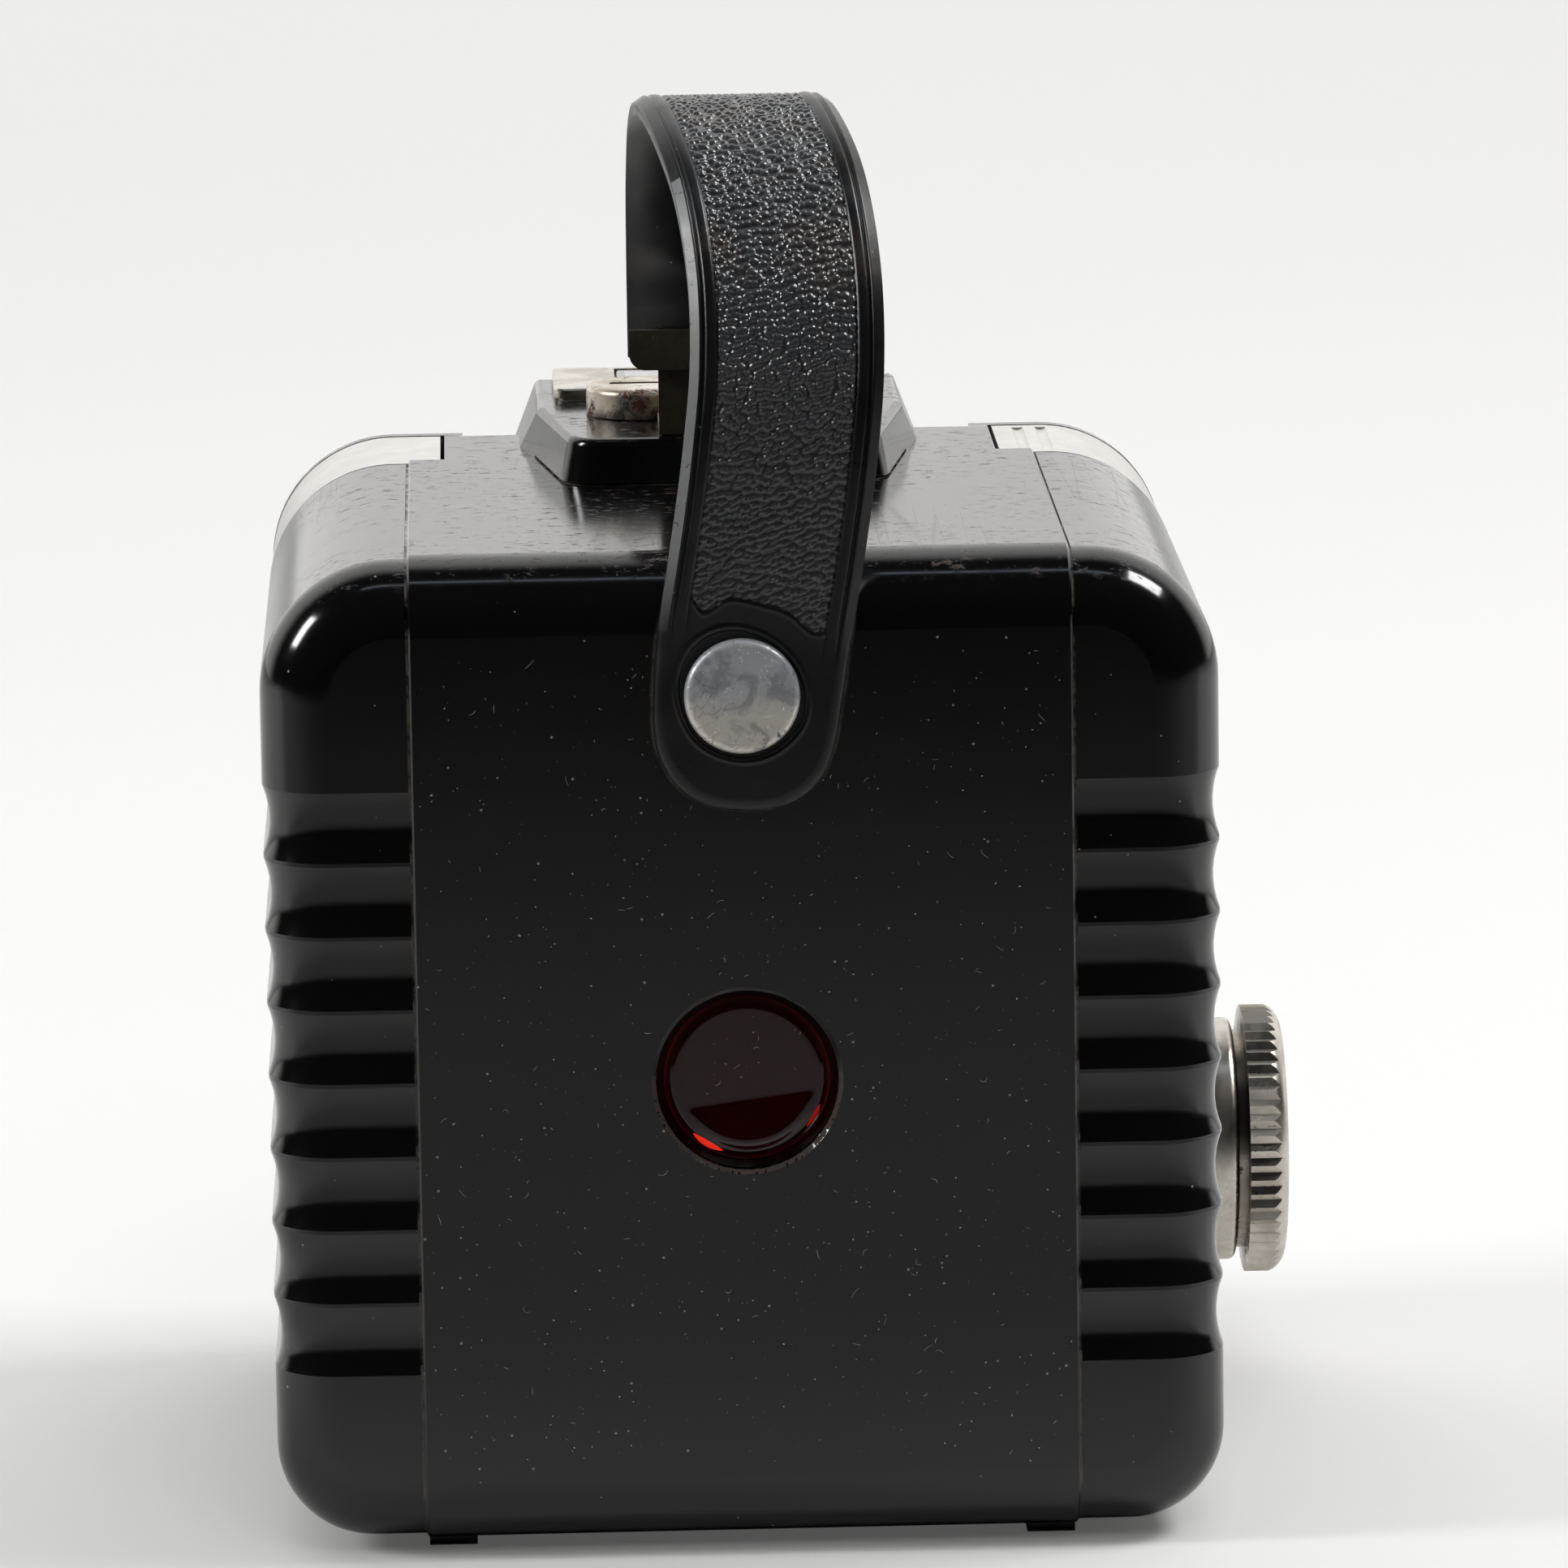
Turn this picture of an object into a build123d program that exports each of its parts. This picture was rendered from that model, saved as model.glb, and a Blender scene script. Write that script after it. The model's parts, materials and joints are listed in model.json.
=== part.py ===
from build123d import *
import math
import os

# Moulded box camera with a strap handle, built as separate pieces, in millimetres.
# +Z is up, the lens looks along -Y, the back of the camera faces +Y, the knob is on -X.
# Pieces are drawn about the middle of the body and written with the origin under the
# middle of the whole camera, knob and lens included.

os.makedirs("parts", exist_ok=True)

# ---------------------------------------------------------------- driving dimensions
BODY_W = 89.0            # across the two ribbed sides
Y_FRONT, Y_BACK = -43.5, 43.5
Y_SPLIT = -21.0          # where the rear shell meets the front shell
Z_BOTTOM, Z_TOP = 1.4, 94.0
WALL = 2.6
R_TOP, R_BOTTOM = 12.3, 9.0      # long edges of the body, seen from the front
R_BACK, R_FRONT = 6.4, 4.5       # rounding round the back and front faces

BAND_HALF = 30.6         # half width of the smooth middle band
BAND_PROUD = 0.35
BAND_LEAD = 0.55         # the band reaches this far ahead of the shell's own edge
BAND_BREAK = 0.18        # broken edge along both sides of the band
SEAM_GROOVE = 0.26
SEAM_DEPTH = 0.3
SKID_IN, SKID_OUT = 25.9, 30.4   # the two moulded skids under the body

FLUTES = 8
FLUTE_PITCH = 6.95
FLUTE_LOW = 17.78
FLUTE_DEPTH = 0.62
FLUTE_LAND = 0.36

WINDOW_Z, WINDOW_R = 45.4, 8.5
RIVET_Z, RIVET_R = 82.0, 5.35

AXIS_Z = 50.5            # optical axis
NOSE_HALF, NOSE_Y = 20.4, -47.5
NOSE_LOW, NOSE_HIGH = 8.0, 93.2
BEZEL_Y = -49.0
DECK_Z, DECK_REAR = 98.8, -3.0

KNOB_Y, KNOB_Z = -28.5, 23.1     # winding axis, parallel to X
KNOB_R = 13.35
KNOB_X = -55.1
SUPPLY_Y, SUPPLY_Z = -9.5, 79.5
SPOOL_HALF, SPOOL_R, SPOOL_CORE = 32.2, 11.6, 3.6

GATE = 57.0
GATE_Y = 33.0
CHEEK_IN, CHEEK_OUT = 33.2, 34.8

STRAP_HALF, STRAP_T = 8.9, 1.8
STRAP_Y = Y_BACK + BAND_PROUD + STRAP_T / 2 + 0.05
RIVET_SEAT = STRAP_Y + STRAP_T / 2 - 0.35
RIVET_HEAD = 1.3
GAP = 0.8                # shadow gap between the two shells

# the whole camera's middle, which goes to the origin
MIDDLE_X = (KNOB_X + BODY_W / 2) / 2
MIDDLE_Y = (BEZEL_Y + RIVET_SEAT + RIVET_HEAD) / 2


# ---------------------------------------------------------------- shared helpers
def at_y(y):
    """Plane parallel to XZ at this Y, with local x = X and local y = Z."""
    return Plane.XZ.offset(-y)


def body_section(y, inset):
    """Outline of the body at Y = y, moved inwards by inset."""
    with BuildSketch(at_y(y), mode=Mode.PRIVATE) as outline:
        with Locations((0, (Z_TOP + Z_BOTTOM) / 2)):
            Rectangle(BODY_W - 2 * inset, Z_TOP - Z_BOTTOM - 2 * inset)
        fillet(outline.vertices().group_by(Axis.Y)[-1], R_TOP - inset)
        fillet(outline.vertices().group_by(Axis.Y)[0], R_BOTTOM - inset)
    return outline.sketch


def body_block(y0, y1, inset):
    """The body's outline filled from y0 to y1."""
    return extrude(body_section(y0, inset), amount=y1 - y0, dir=(0, 1, 0), mode=Mode.PRIVATE)


def box(x0, x1, y0, y1, z0, z1):
    """Axis-aligned block between two corners."""
    block = Box(x1 - x0, y1 - y0, z1 - z0, mode=Mode.PRIVATE)
    return Pos((x0 + x1) / 2, (y0 + y1) / 2, (z0 + z1) / 2) * block


def rod_x(x0, x1, y, z, radius):
    """Round bar along X."""
    return Pos((x0 + x1) / 2, y, z) * Rot(0, 90, 0) * Cylinder(
        radius, abs(x1 - x0), mode=Mode.PRIVATE)


def rod_y(y0, y1, x, z, radius):
    """Round bar along Y."""
    return Pos(x, (y0 + y1) / 2, z) * Rot(90, 0, 0) * Cylinder(
        radius, abs(y1 - y0), mode=Mode.PRIVATE)


def rod_z(z0, z1, x, y, radius):
    """Round bar along Z."""
    return Pos(x, y, (z0 + z1) / 2) * Cylinder(
        radius, abs(z1 - z0), mode=Mode.PRIVATE)


def write(piece, name):
    """Move the finished piece to the camera's own origin, label it and write its STEP."""
    placed = piece.part.moved(Location((-MIDDLE_X, -MIDDLE_Y, 0)))
    placed.label = name
    export_step(placed, f"parts/{name}.step")


def flute_cutter(side):
    """One comb of eight concave flutes, swept round a side of the body (side = +1 or -1)."""
    corner = BODY_W / 2
    start = Vector(side * (NOSE_HALF + 1.6), Y_FRONT, 0)
    with BuildLine() as path:
        FilletPolyline(
            start,
            (side * corner, Y_FRONT, 0),
            (side * corner, Y_BACK, 0),
            (side * BAND_HALF, Y_BACK, 0),
            radius=[R_FRONT, R_BACK],
        )
    section_plane = Plane(origin=start, x_dir=(0, -1, 0), z_dir=(-1, 0, 0))
    reach = 1.6
    top = FLUTE_LOW + FLUTES * FLUTE_PITCH
    with BuildPart() as comb:
        with BuildSketch(section_plane):
            with BuildLine():
                for k in range(FLUTES):
                    low = FLUTE_LOW + k * FLUTE_PITCH
                    high = low + FLUTE_PITCH
                    Line((0, low), (0, low + FLUTE_LAND / 2))
                    ThreePointArc(
                        (0, low + FLUTE_LAND / 2),
                        (-FLUTE_DEPTH, (low + high) / 2),
                        (0, high - FLUTE_LAND / 2),
                    )
                    Line((0, high - FLUTE_LAND / 2), (0, high))
                Polyline((0, top), (reach, top), (reach, FLUTE_LOW), (0, FLUTE_LOW))
            make_face()
        sweep(path=path.wire())
    return comb.part


FLUTE_COMBS = [flute_cutter(+1), flute_cutter(-1)]


def skids(y0, y1):
    """The pair of skids under the body."""
    return [
        box(SKID_IN, SKID_OUT, y0, y1, 0, Z_BOTTOM + 1),
        box(-SKID_OUT, -SKID_IN, y0, y1, 0, Z_BOTTOM + 1),
    ]


# ---------------------------------------------------------------- rear shell
# Deep moulded shell: ribbed sides, smooth middle band, red window and strap rivet holes.
with BuildPart() as band:
    with BuildSketch(Plane.YZ.offset(-BAND_HALF)):
        with BuildLine():
            band_back = Y_BACK + BAND_PROUD
            FilletPolyline(
                (Y_SPLIT - BAND_LEAD, Z_TOP + BAND_PROUD),
                (band_back, Z_TOP + BAND_PROUD),
                (band_back, Z_BOTTOM - BAND_PROUD),
                (Y_SPLIT - BAND_LEAD, Z_BOTTOM - BAND_PROUD),
                radius=R_BACK + BAND_PROUD,
            )
            Line(
                (Y_SPLIT - BAND_LEAD, Z_BOTTOM - BAND_PROUD),
                (Y_SPLIT - BAND_LEAD, Z_TOP + BAND_PROUD),
            )
        make_face()
    extrude(amount=2 * BAND_HALF)
    chamfer(band.faces().sort_by(Axis.X)[0].edges(), BAND_BREAK)
    chamfer(band.faces().sort_by(Axis.X)[-1].edges(), BAND_BREAK)

with BuildPart() as rear_shell:
    add(body_block(Y_SPLIT, Y_BACK, 0))
    fillet(rear_shell.faces().sort_by(Axis.Y)[-1].edges(), R_BACK)
    for comb in FLUTE_COMBS:
        add(comb, mode=Mode.SUBTRACT)
    add(band.part)
    for skid in skids(Y_SPLIT, Y_BACK - R_BACK):
        add(skid)
    # fine groove along both seams, just outside the band
    for groove_x in (BAND_HALF, -BAND_HALF - SEAM_GROOVE):
        with BuildSketch(Plane.YZ.offset(groove_x)):
            with BuildLine():
                Polyline(
                    (Y_SPLIT - 2, Z_TOP + 2),
                    (Y_BACK + 2, Z_TOP + 2),
                    (Y_BACK + 2, Z_BOTTOM + 0.5),
                    (Y_BACK - SEAM_DEPTH, Z_BOTTOM + 0.5),
                )
                FilletPolyline(
                    (Y_BACK - SEAM_DEPTH, Z_BOTTOM + 0.5),
                    (Y_BACK - SEAM_DEPTH, Z_TOP - SEAM_DEPTH),
                    (Y_SPLIT - 2, Z_TOP - SEAM_DEPTH),
                    radius=R_BACK - SEAM_DEPTH,
                )
                Line((Y_SPLIT - 2, Z_TOP - SEAM_DEPTH), (Y_SPLIT - 2, Z_TOP + 2))
            make_face()
        extrude(amount=SEAM_GROOVE, mode=Mode.SUBTRACT)
    add(body_block(Y_SPLIT - 5, Y_BACK - WALL, WALL), mode=Mode.SUBTRACT)
    # window hole with a chamfered mouth and an inner seat for its flange
    add(rod_y(Y_BACK - 5, Y_BACK + 5, 0, WINDOW_Z, WINDOW_R), mode=Mode.SUBTRACT)
    add(rod_y(Y_BACK - 5, Y_BACK - 1.6, 0, WINDOW_Z, WINDOW_R + 2), mode=Mode.SUBTRACT)
    window_mouth = (
        rear_shell.edges()
        .filter_by(GeomType.CIRCLE)
        .filter_by(lambda e: abs(e.radius - WINDOW_R) < 0.01)
        .sort_by(Axis.Y)[-1]
    )
    chamfer(window_mouth, 0.4)
    add(rod_y(Y_BACK - 5, Y_BACK + 5, 0, RIVET_Z, 2.0), mode=Mode.SUBTRACT)
write(rear_shell, "rear_shell")

# ---------------------------------------------------------------- front shell
# Moulded front: ribbed sides, raised nose with lens and finder, deck that overhangs the
# rear shell, inner light-trap lip, corner pockets for the two buttons.
FRONT_EDGE = Y_SPLIT - GAP
LIP_OUT, LIP_IN, LIP_REACH = WALL + 0.3, WALL + 1.8, -16.0
PKT_X, PKT_Y0, PKT_FLOOR = 27.1, -40.2, 84.5
PKT_SIDE_X, PKT_SIDE_Z = 40.1, 74.3
LINER = 1.8
STEM_X, STEM_Y, STEM_R = 35.0, -31.0, 2.0
FINDER_Y, FINDER_HX, FINDER_HY = -36.8, 10.0, 6.2
FRAME_TOP = 99.95
HUB_X, HUB_Y, HUB_R = 7.6, -20.0, 5.5
SCREW_X, SCREW_ZS = 22.0, (34.0, 57.0)
OBJ_Z = 86.2


def pocket(side):
    """Free space for one corner button and its travel."""
    top = box(PKT_X, 46, PKT_Y0, FRONT_EDGE + 0.01, PKT_FLOOR, 96)
    flank = box(PKT_SIDE_X, 46, PKT_Y0, FRONT_EDGE + 0.01, PKT_SIDE_Z, 96)
    shape = top + flank
    return shape if side > 0 else mirror(shape, about=Plane.YZ, mode=Mode.PRIVATE)


def liner(side):
    """Wall under and inside a pocket, kept within the body's outline."""
    block = box(PKT_X - LINER, 46, PKT_Y0 - 1.5, FRONT_EDGE, PKT_SIDE_Z - 2, 96)
    relief = box(PKT_X - LINER - 1, PKT_SIDE_X - LINER, PKT_Y0 - 3, FRONT_EDGE + 1,
                 PKT_SIDE_Z - 3, PKT_FLOOR - LINER)
    shape = (block & body_block(Y_FRONT + 1, FRONT_EDGE, 0.05)) - relief
    return shape if side > 0 else mirror(shape, about=Plane.YZ, mode=Mode.PRIVATE)


# raised nose down the middle of the front
with BuildPart() as nose:
    with BuildSketch(at_y(NOSE_Y)):
        with Locations((0, (NOSE_LOW + NOSE_HIGH) / 2)):
            Rectangle(2 * NOSE_HALF, NOSE_HIGH - NOSE_LOW)
    extrude(amount=-(Y_FRONT + 4 - NOSE_Y))
    fillet(nose.edges().filter_by(Axis.Y), 2.2)
    fillet(nose.faces().sort_by(Axis.Y)[0].edges(), 1.6)

# finder hump and deck, wider at the front, with drafted sides
with BuildPart() as hump:
    with BuildSketch(Plane.XY.offset(Z_TOP - 2)):
        with BuildLine():
            Polyline((-15.9, -2.6), (15.9, -2.6), (20.4, -34), (20.4, -45.5),
                     (-20.4, -45.5), (-20.4, -34), close=True)
        make_face()
    with BuildSketch(Plane.XY.offset(DECK_Z)):
        with BuildLine():
            Polyline((-14.6, DECK_REAR), (14.6, DECK_REAR), (17.8, -24), (17.8, -44.9),
                     (-17.8, -44.9), (-17.8, -24), close=True)
        make_face()
    loft()
    upright = hump.edges().filter_by(
        lambda e: abs(e.bounding_box().size.Z - (DECK_Z - Z_TOP + 2)) < 0.01
    )
    fillet(upright.group_by(Axis.Y)[-1], 3.6)
    fillet(hump.faces().sort_by(Axis.Z)[-1].edges(), 0.8)

with BuildPart() as front_shell:
    add(body_block(Y_FRONT, FRONT_EDGE, 0))
    fillet(front_shell.faces().sort_by(Axis.Y)[0].edges(), R_FRONT)
    for comb in FLUTE_COMBS:
        add(comb, mode=Mode.SUBTRACT)
    add(nose.part)
    add(hump.part)
    # the overhanging tail floats just above the rear shell's band
    add(box(-25, 25, FRONT_EDGE, 10, Z_TOP - 4, Z_TOP + BAND_PROUD + 0.2), mode=Mode.SUBTRACT)
    for skid in skids(Y_FRONT + R_FRONT, FRONT_EDGE):
        add(skid)
    # hollow inside
    add(body_block(Y_FRONT + WALL, Y_SPLIT + 3, WALL), mode=Mode.SUBTRACT)
    add(box(-17.4, 17.4, NOSE_Y + WALL, Y_FRONT + WALL + 1, 12, 77.5), mode=Mode.SUBTRACT)
    # solid block for the finder chamber, bored out below
    add(box(-13.5, 13.5, -45.5, -28.0, 77.5, Z_TOP))
    # light-trap lip that slides inside the rear shell
    add(body_block(Y_SPLIT - 8, LIP_REACH, LIP_OUT) - body_block(Y_SPLIT - 9, LIP_REACH + 1, LIP_IN))
    add(body_block(Y_SPLIT - 8, FRONT_EDGE, WALL - 0.3)
        - body_block(Y_SPLIT - 9, LIP_REACH + 1, LIP_IN))
    for side in (1, -1):
        add(liner(side))
        add(pocket(side), mode=Mode.SUBTRACT)
        add(rod_z(80, 90, side * STEM_X, STEM_Y, STEM_R + 0.1), mode=Mode.SUBTRACT)
    # finder chamber, field-lens seat and objective window
    add(box(-11, 11, -44.9, -30.5, 80, 96.5), mode=Mode.SUBTRACT)
    add(box(-9, 9, FINDER_Y - 5.3, FINDER_Y + 5.3, 95, 102), mode=Mode.SUBTRACT)
    add(box(-7.1, 7.1, -50, -44, OBJ_Z - 5.1, OBJ_Z + 5.1), mode=Mode.SUBTRACT)
    # lens seat
    add(rod_y(-50, -44, 0, AXIS_Z, 6.55), mode=Mode.SUBTRACT)
    add(rod_y(-50, -46.3, 0, AXIS_Z, 9.5), mode=Mode.SUBTRACT)
    # hole for the winding bush
    add(rod_x(-50, -38, KNOB_Y, KNOB_Z, 3.9), mode=Mode.SUBTRACT)
    # bosses for the chassis screws
    for x in (-SCREW_X, SCREW_X):
        for z in SCREW_ZS:
            add(rod_y(-42, -38.9, x, z, 3.5))
            add(rod_y(-42.6, -38, x, z, 1.5), mode=Mode.SUBTRACT)
    # latch post hole in the deck
    add(rod_z(95.2, 100, HUB_X, HUB_Y, 2.45), mode=Mode.SUBTRACT)
write(front_shell, "front_shell")

# ---------------------------------------------------------------- lens and finder optics
with BuildPart() as lens_bezel:
    add(rod_y(BEZEL_Y, -46.3, 0, AXIS_Z, 9.45))
    add(rod_y(-50, -46, 0, AXIS_Z, 6.0), mode=Mode.SUBTRACT)
    chamfer(lens_bezel.faces().sort_by(Axis.Y)[0].edges().sort_by(SortBy.LENGTH)[-1], 0.8)
    chamfer(lens_bezel.faces().sort_by(Axis.Y)[0].edges().sort_by(SortBy.LENGTH)[0], 1.2)
write(lens_bezel, "lens_bezel")

with BuildPart() as taking_lens:
    add(rod_y(-46.2, -44.3, 0, AXIS_Z, 6.45))
    add(Pos(0, -46.2 + 24.0, AXIS_Z) * Sphere(24.0, mode=Mode.PRIVATE), mode=Mode.INTERSECT)
write(taking_lens, "taking_lens")

with BuildPart() as lens_retainer:
    add(rod_y(-44.86, -44.0, 0, AXIS_Z, 7.8))
    add(rod_y(-45, -44.26, 0, AXIS_Z, 6.6), mode=Mode.SUBTRACT)
    add(rod_y(-45, -43, 0, AXIS_Z, 5.4), mode=Mode.SUBTRACT)
write(lens_retainer, "lens_retainer")

with BuildPart() as finder_objective_lens:
    add(box(-7.0, 7.0, -46.9, -45.1, OBJ_Z - 5, OBJ_Z + 5))
write(finder_objective_lens, "finder_objective_lens")

with BuildPart() as finder_mirror:
    with BuildSketch(Plane.YZ.offset(-9.5)):
        with BuildLine():
            Polyline((-43.9, 81.2), (-43.1, 80.4), (-31.4, 92.1), (-32.2, 92.9), close=True)
        make_face()
    extrude(amount=19)
write(finder_mirror, "finder_mirror")

with BuildPart() as finder_frame:
    add(box(-16.2, 16.2, FINDER_Y - 7.4, FINDER_Y + 7.5, DECK_Z, FRAME_TOP))
    fillet(finder_frame.edges().filter_by(Axis.Z), 1.2)
    chamfer(finder_frame.faces().sort_by(Axis.Z)[-1].edges(), 0.15)
    add(box(-FINDER_HX - 0.05, FINDER_HX + 0.05, FINDER_Y - FINDER_HY - 0.05,
            FINDER_Y + FINDER_HY + 0.05, DECK_Z - 1, FRAME_TOP + 1), mode=Mode.SUBTRACT)
write(finder_frame, "finder_frame")

with BuildPart() as finder_field_lens:
    add(box(-FINDER_HX, FINDER_HX, FINDER_Y - FINDER_HY, FINDER_Y + FINDER_HY, DECK_Z, 99.85))
    fillet(finder_field_lens.faces().sort_by(Axis.Z)[-1].edges(), 0.4)
write(finder_field_lens, "finder_field_lens")

# ---------------------------------------------------------------- shutter
PIVOT_X, PIVOT_Z = 0.0, 41.0
PLATE_SCREW_ZS = (22.8, 70.5)
with BuildPart() as shutter_disc:
    add(rod_y(-43.4, -43.0, PIVOT_X, PIVOT_Z, 15.2))
    add(rod_y(-44, -42, PIVOT_X, PIVOT_Z, 1.56), mode=Mode.SUBTRACT)
    for turn in (38, 52, 66):
        hole = Pos(PIVOT_X, 0, PIVOT_Z) * Rot(0, turn, 0) * rod_y(-44, -42, 0, 9.6, 4.1)
        add(hole, mode=Mode.SUBTRACT)
write(shutter_disc, "shutter_disc")

with BuildPart() as shutter_plate:
    add(box(-16.9, 16.9, -42.4, -41.8, 20, 74))
    add(rod_y(-43, -41, 0, AXIS_Z, 4.5), mode=Mode.SUBTRACT)
    add(rod_y(-43, -41, PIVOT_X, PIVOT_Z, 1.5), mode=Mode.SUBTRACT)
    for z in PLATE_SCREW_ZS:
        add(rod_y(-43, -41, 0, z, 1.1), mode=Mode.SUBTRACT)
        add(rod_y(-44.9, -42.4, 0, z, 2.6) - rod_y(-45, -42, 0, z, 1.1))
write(shutter_plate, "shutter_plate")

with BuildPart() as shutter_pivot:
    add(rod_y(-44.9, -41.5, PIVOT_X, PIVOT_Z, 1.5))
    add(rod_y(-42.9, -42.4, PIVOT_X, PIVOT_Z, 2.4))
    add(rod_y(-41.8, -41.4, PIVOT_X, PIVOT_Z, 2.2))
write(shutter_pivot, "shutter_pivot")

for number, z in enumerate(PLATE_SCREW_ZS, start=1):
    with BuildPart() as shutter_screw:
        add(rod_y(-44.9, -41.2, 0, z, 1.08))
        add(rod_y(-41.8, -41.0, 0, z, 2.2))
        add(box(-2.5, 2.5, -41.35, -40.9, z - 0.3, z + 0.3), mode=Mode.SUBTRACT)
    write(shutter_screw, f"shutter_screw_{number}")

# ---------------------------------------------------------------- film chassis
CONE_Y0, CONE_HALF0 = -38.8, 6.0
FLANGE_HX = 27.0
# hollow cone from the lens to the film gate
with BuildPart() as cone:
    for inset in (0.0, 1.2):
        keep = Mode.ADD if inset == 0 else Mode.SUBTRACT
        reach = 0.0 if inset == 0 else 0.5
        with BuildSketch(at_y(CONE_Y0 - reach)):
            with Locations((0, AXIS_Z)):
                Rectangle(2 * (CONE_HALF0 + 1.2 - inset), 2 * (CONE_HALF0 + 1.2 - inset))
        with BuildSketch(at_y(GATE_Y + reach)):
            with Locations((0, AXIS_Z)):
                Rectangle(GATE + 2.4 - 2 * inset, GATE + 2.4 - 2 * inset)
        loft(mode=keep)

with BuildPart() as film_chassis:
    add(cone.part)
    # screw flange, side cheeks and the rails of the film gate
    add(box(-FLANGE_HX, FLANGE_HX, CONE_Y0, CONE_Y0 + 1.4, 29.8, 61.5)
        - box(-6.5, 6.5, CONE_Y0 - 1, CONE_Y0 + 2, AXIS_Z - 6.5, AXIS_Z + 6.5))
    for side in (1, -1):
        inner, outer = sorted((side * CHEEK_IN, side * CHEEK_OUT))
        add(box(inner, outer, CONE_Y0, GATE_Y, 9.5, 80))
        add(box(inner, outer, -20.4, GATE_Y, 79, 89.0))
        add(box(*sorted((side * (FLANGE_HX - 2), side * CHEEK_OUT)), CONE_Y0, CONE_Y0 + 1.4,
                36.5, 61.5))
        add(box(*sorted((side * 29.0, side * CHEEK_OUT)), GATE_Y - 1.4, GATE_Y, 21, 80))
    for z0, z1 in ((19.6, 22.2), (78.8, 81.4)):
        add(box(-CHEEK_OUT, CHEEK_OUT, GATE_Y - 1.4, GATE_Y, z0, z1))
    # relief for the release lever
    add(box(-40, 40, CONE_Y0 - 2, -26.5, 64, 84), mode=Mode.SUBTRACT)
    # take-up end: opening for the shaft; other holes for studs and rollers
    add(rod_x(-36, -32, KNOB_Y, KNOB_Z, 3.4), mode=Mode.SUBTRACT)
    add(rod_x(32, 36, KNOB_Y, KNOB_Z, 1.5), mode=Mode.SUBTRACT)
    for x0, x1 in ((-36, -32), (32, 36)):
        add(rod_x(x0, x1, SUPPLY_Y, SUPPLY_Z, 1.5), mode=Mode.SUBTRACT)
        for z in (14.6, 86.0):
            add(rod_x(x0, x1, 28.6, z, 1.05), mode=Mode.SUBTRACT)
    for x in (-SCREW_X, SCREW_X):
        for z in SCREW_ZS:
            add(rod_y(-40, -36, x, z, 1.6), mode=Mode.SUBTRACT)
write(film_chassis, "film_chassis")

count = 0
for x in (-SCREW_X, SCREW_X):
    for z in SCREW_ZS:
        count += 1
        with BuildPart() as chassis_screw:
            add(rod_y(-42.3, -37.2, x, z, 1.48))
            add(rod_y(CONE_Y0 + 1.4, -36.0, x, z, 2.8))
            add(box(x - 3, x + 3, -36.5, -35.5, z - 0.4, z + 0.4), mode=Mode.SUBTRACT)
        write(chassis_screw, f"chassis_screw_{count}")

for name, z in (("film_roller_lower", 14.6), ("film_roller_upper", 86.0)):
    with BuildPart() as roller:
        add(rod_x(-32.9, 32.9, 28.6, z, 3.0))
        add(rod_x(-35.0, 35.0, 28.6, z, 1.0))
        chamfer(roller.edges().filter_by(GeomType.CIRCLE).filter_by(
            lambda e: abs(e.radius - 3.0) < 0.01), 0.4)
    write(roller, name)

# ---------------------------------------------------------------- spool seats
for name, side, y, z in (
    ("supply_stud_left", -1, SUPPLY_Y, SUPPLY_Z),
    ("supply_stud_right", 1, SUPPLY_Y, SUPPLY_Z),
    ("take_up_stud", 1, KNOB_Y, KNOB_Z),
):
    with BuildPart() as stud:
        add(rod_x(side * 30.5, side * 35.4, y, z, 1.48))
        add(rod_x(side * 34.8, side * 35.6, y, z, 3.0))
        add(rod_x(side * 32.4, side * 33.2, y, z, 2.6))
    write(stud, name)

with BuildPart() as supply_spring:
    add(box(34.8, 35.3, SUPPLY_Y - 5, SUPPLY_Y + 20, SUPPLY_Z - 5, SUPPLY_Z + 5)
        - rod_x(34, 36, SUPPLY_Y, SUPPLY_Z, 3.05))
write(supply_spring, "supply_spring")

with BuildPart() as take_up_spool:
    add(rod_x(-SPOOL_HALF, SPOOL_HALF, KNOB_Y, KNOB_Z, SPOOL_CORE))
    for side in (1, -1):
        add(rod_x(side * (SPOOL_HALF - 1.0), side * SPOOL_HALF, KNOB_Y, KNOB_Z, SPOOL_R))
    add(rod_x(28, 33, KNOB_Y, KNOB_Z, 1.55), mode=Mode.SUBTRACT)
    add(box(-33, -28.8, KNOB_Y - 0.65, KNOB_Y + 0.65, KNOB_Z - 2.0, KNOB_Z + 2.0),
        mode=Mode.SUBTRACT)
    add(box(-22, 22, KNOB_Y - 0.8, KNOB_Y + 0.8, KNOB_Z - 5, KNOB_Z + 5), mode=Mode.SUBTRACT)
write(take_up_spool, "take_up_spool")

# ---------------------------------------------------------------- winding gear
with BuildPart() as winding_bush:
    add(rod_x(-45.2, -40.3, KNOB_Y, KNOB_Z, 3.86))
    add(rod_x(-45.4, -44.52, KNOB_Y, KNOB_Z, 5.2))
    add(rod_x(-46, -40, KNOB_Y, KNOB_Z, 2.95), mode=Mode.SUBTRACT)
write(winding_bush, "winding_bush")

TEETH = 14


def knob_plane(x):
    """Plane across the winding axis at this X, centred on the axis."""
    return Plane(origin=(x, KNOB_Y, KNOB_Z), x_dir=(0, 1, 0), z_dir=(1, 0, 0))


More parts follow.
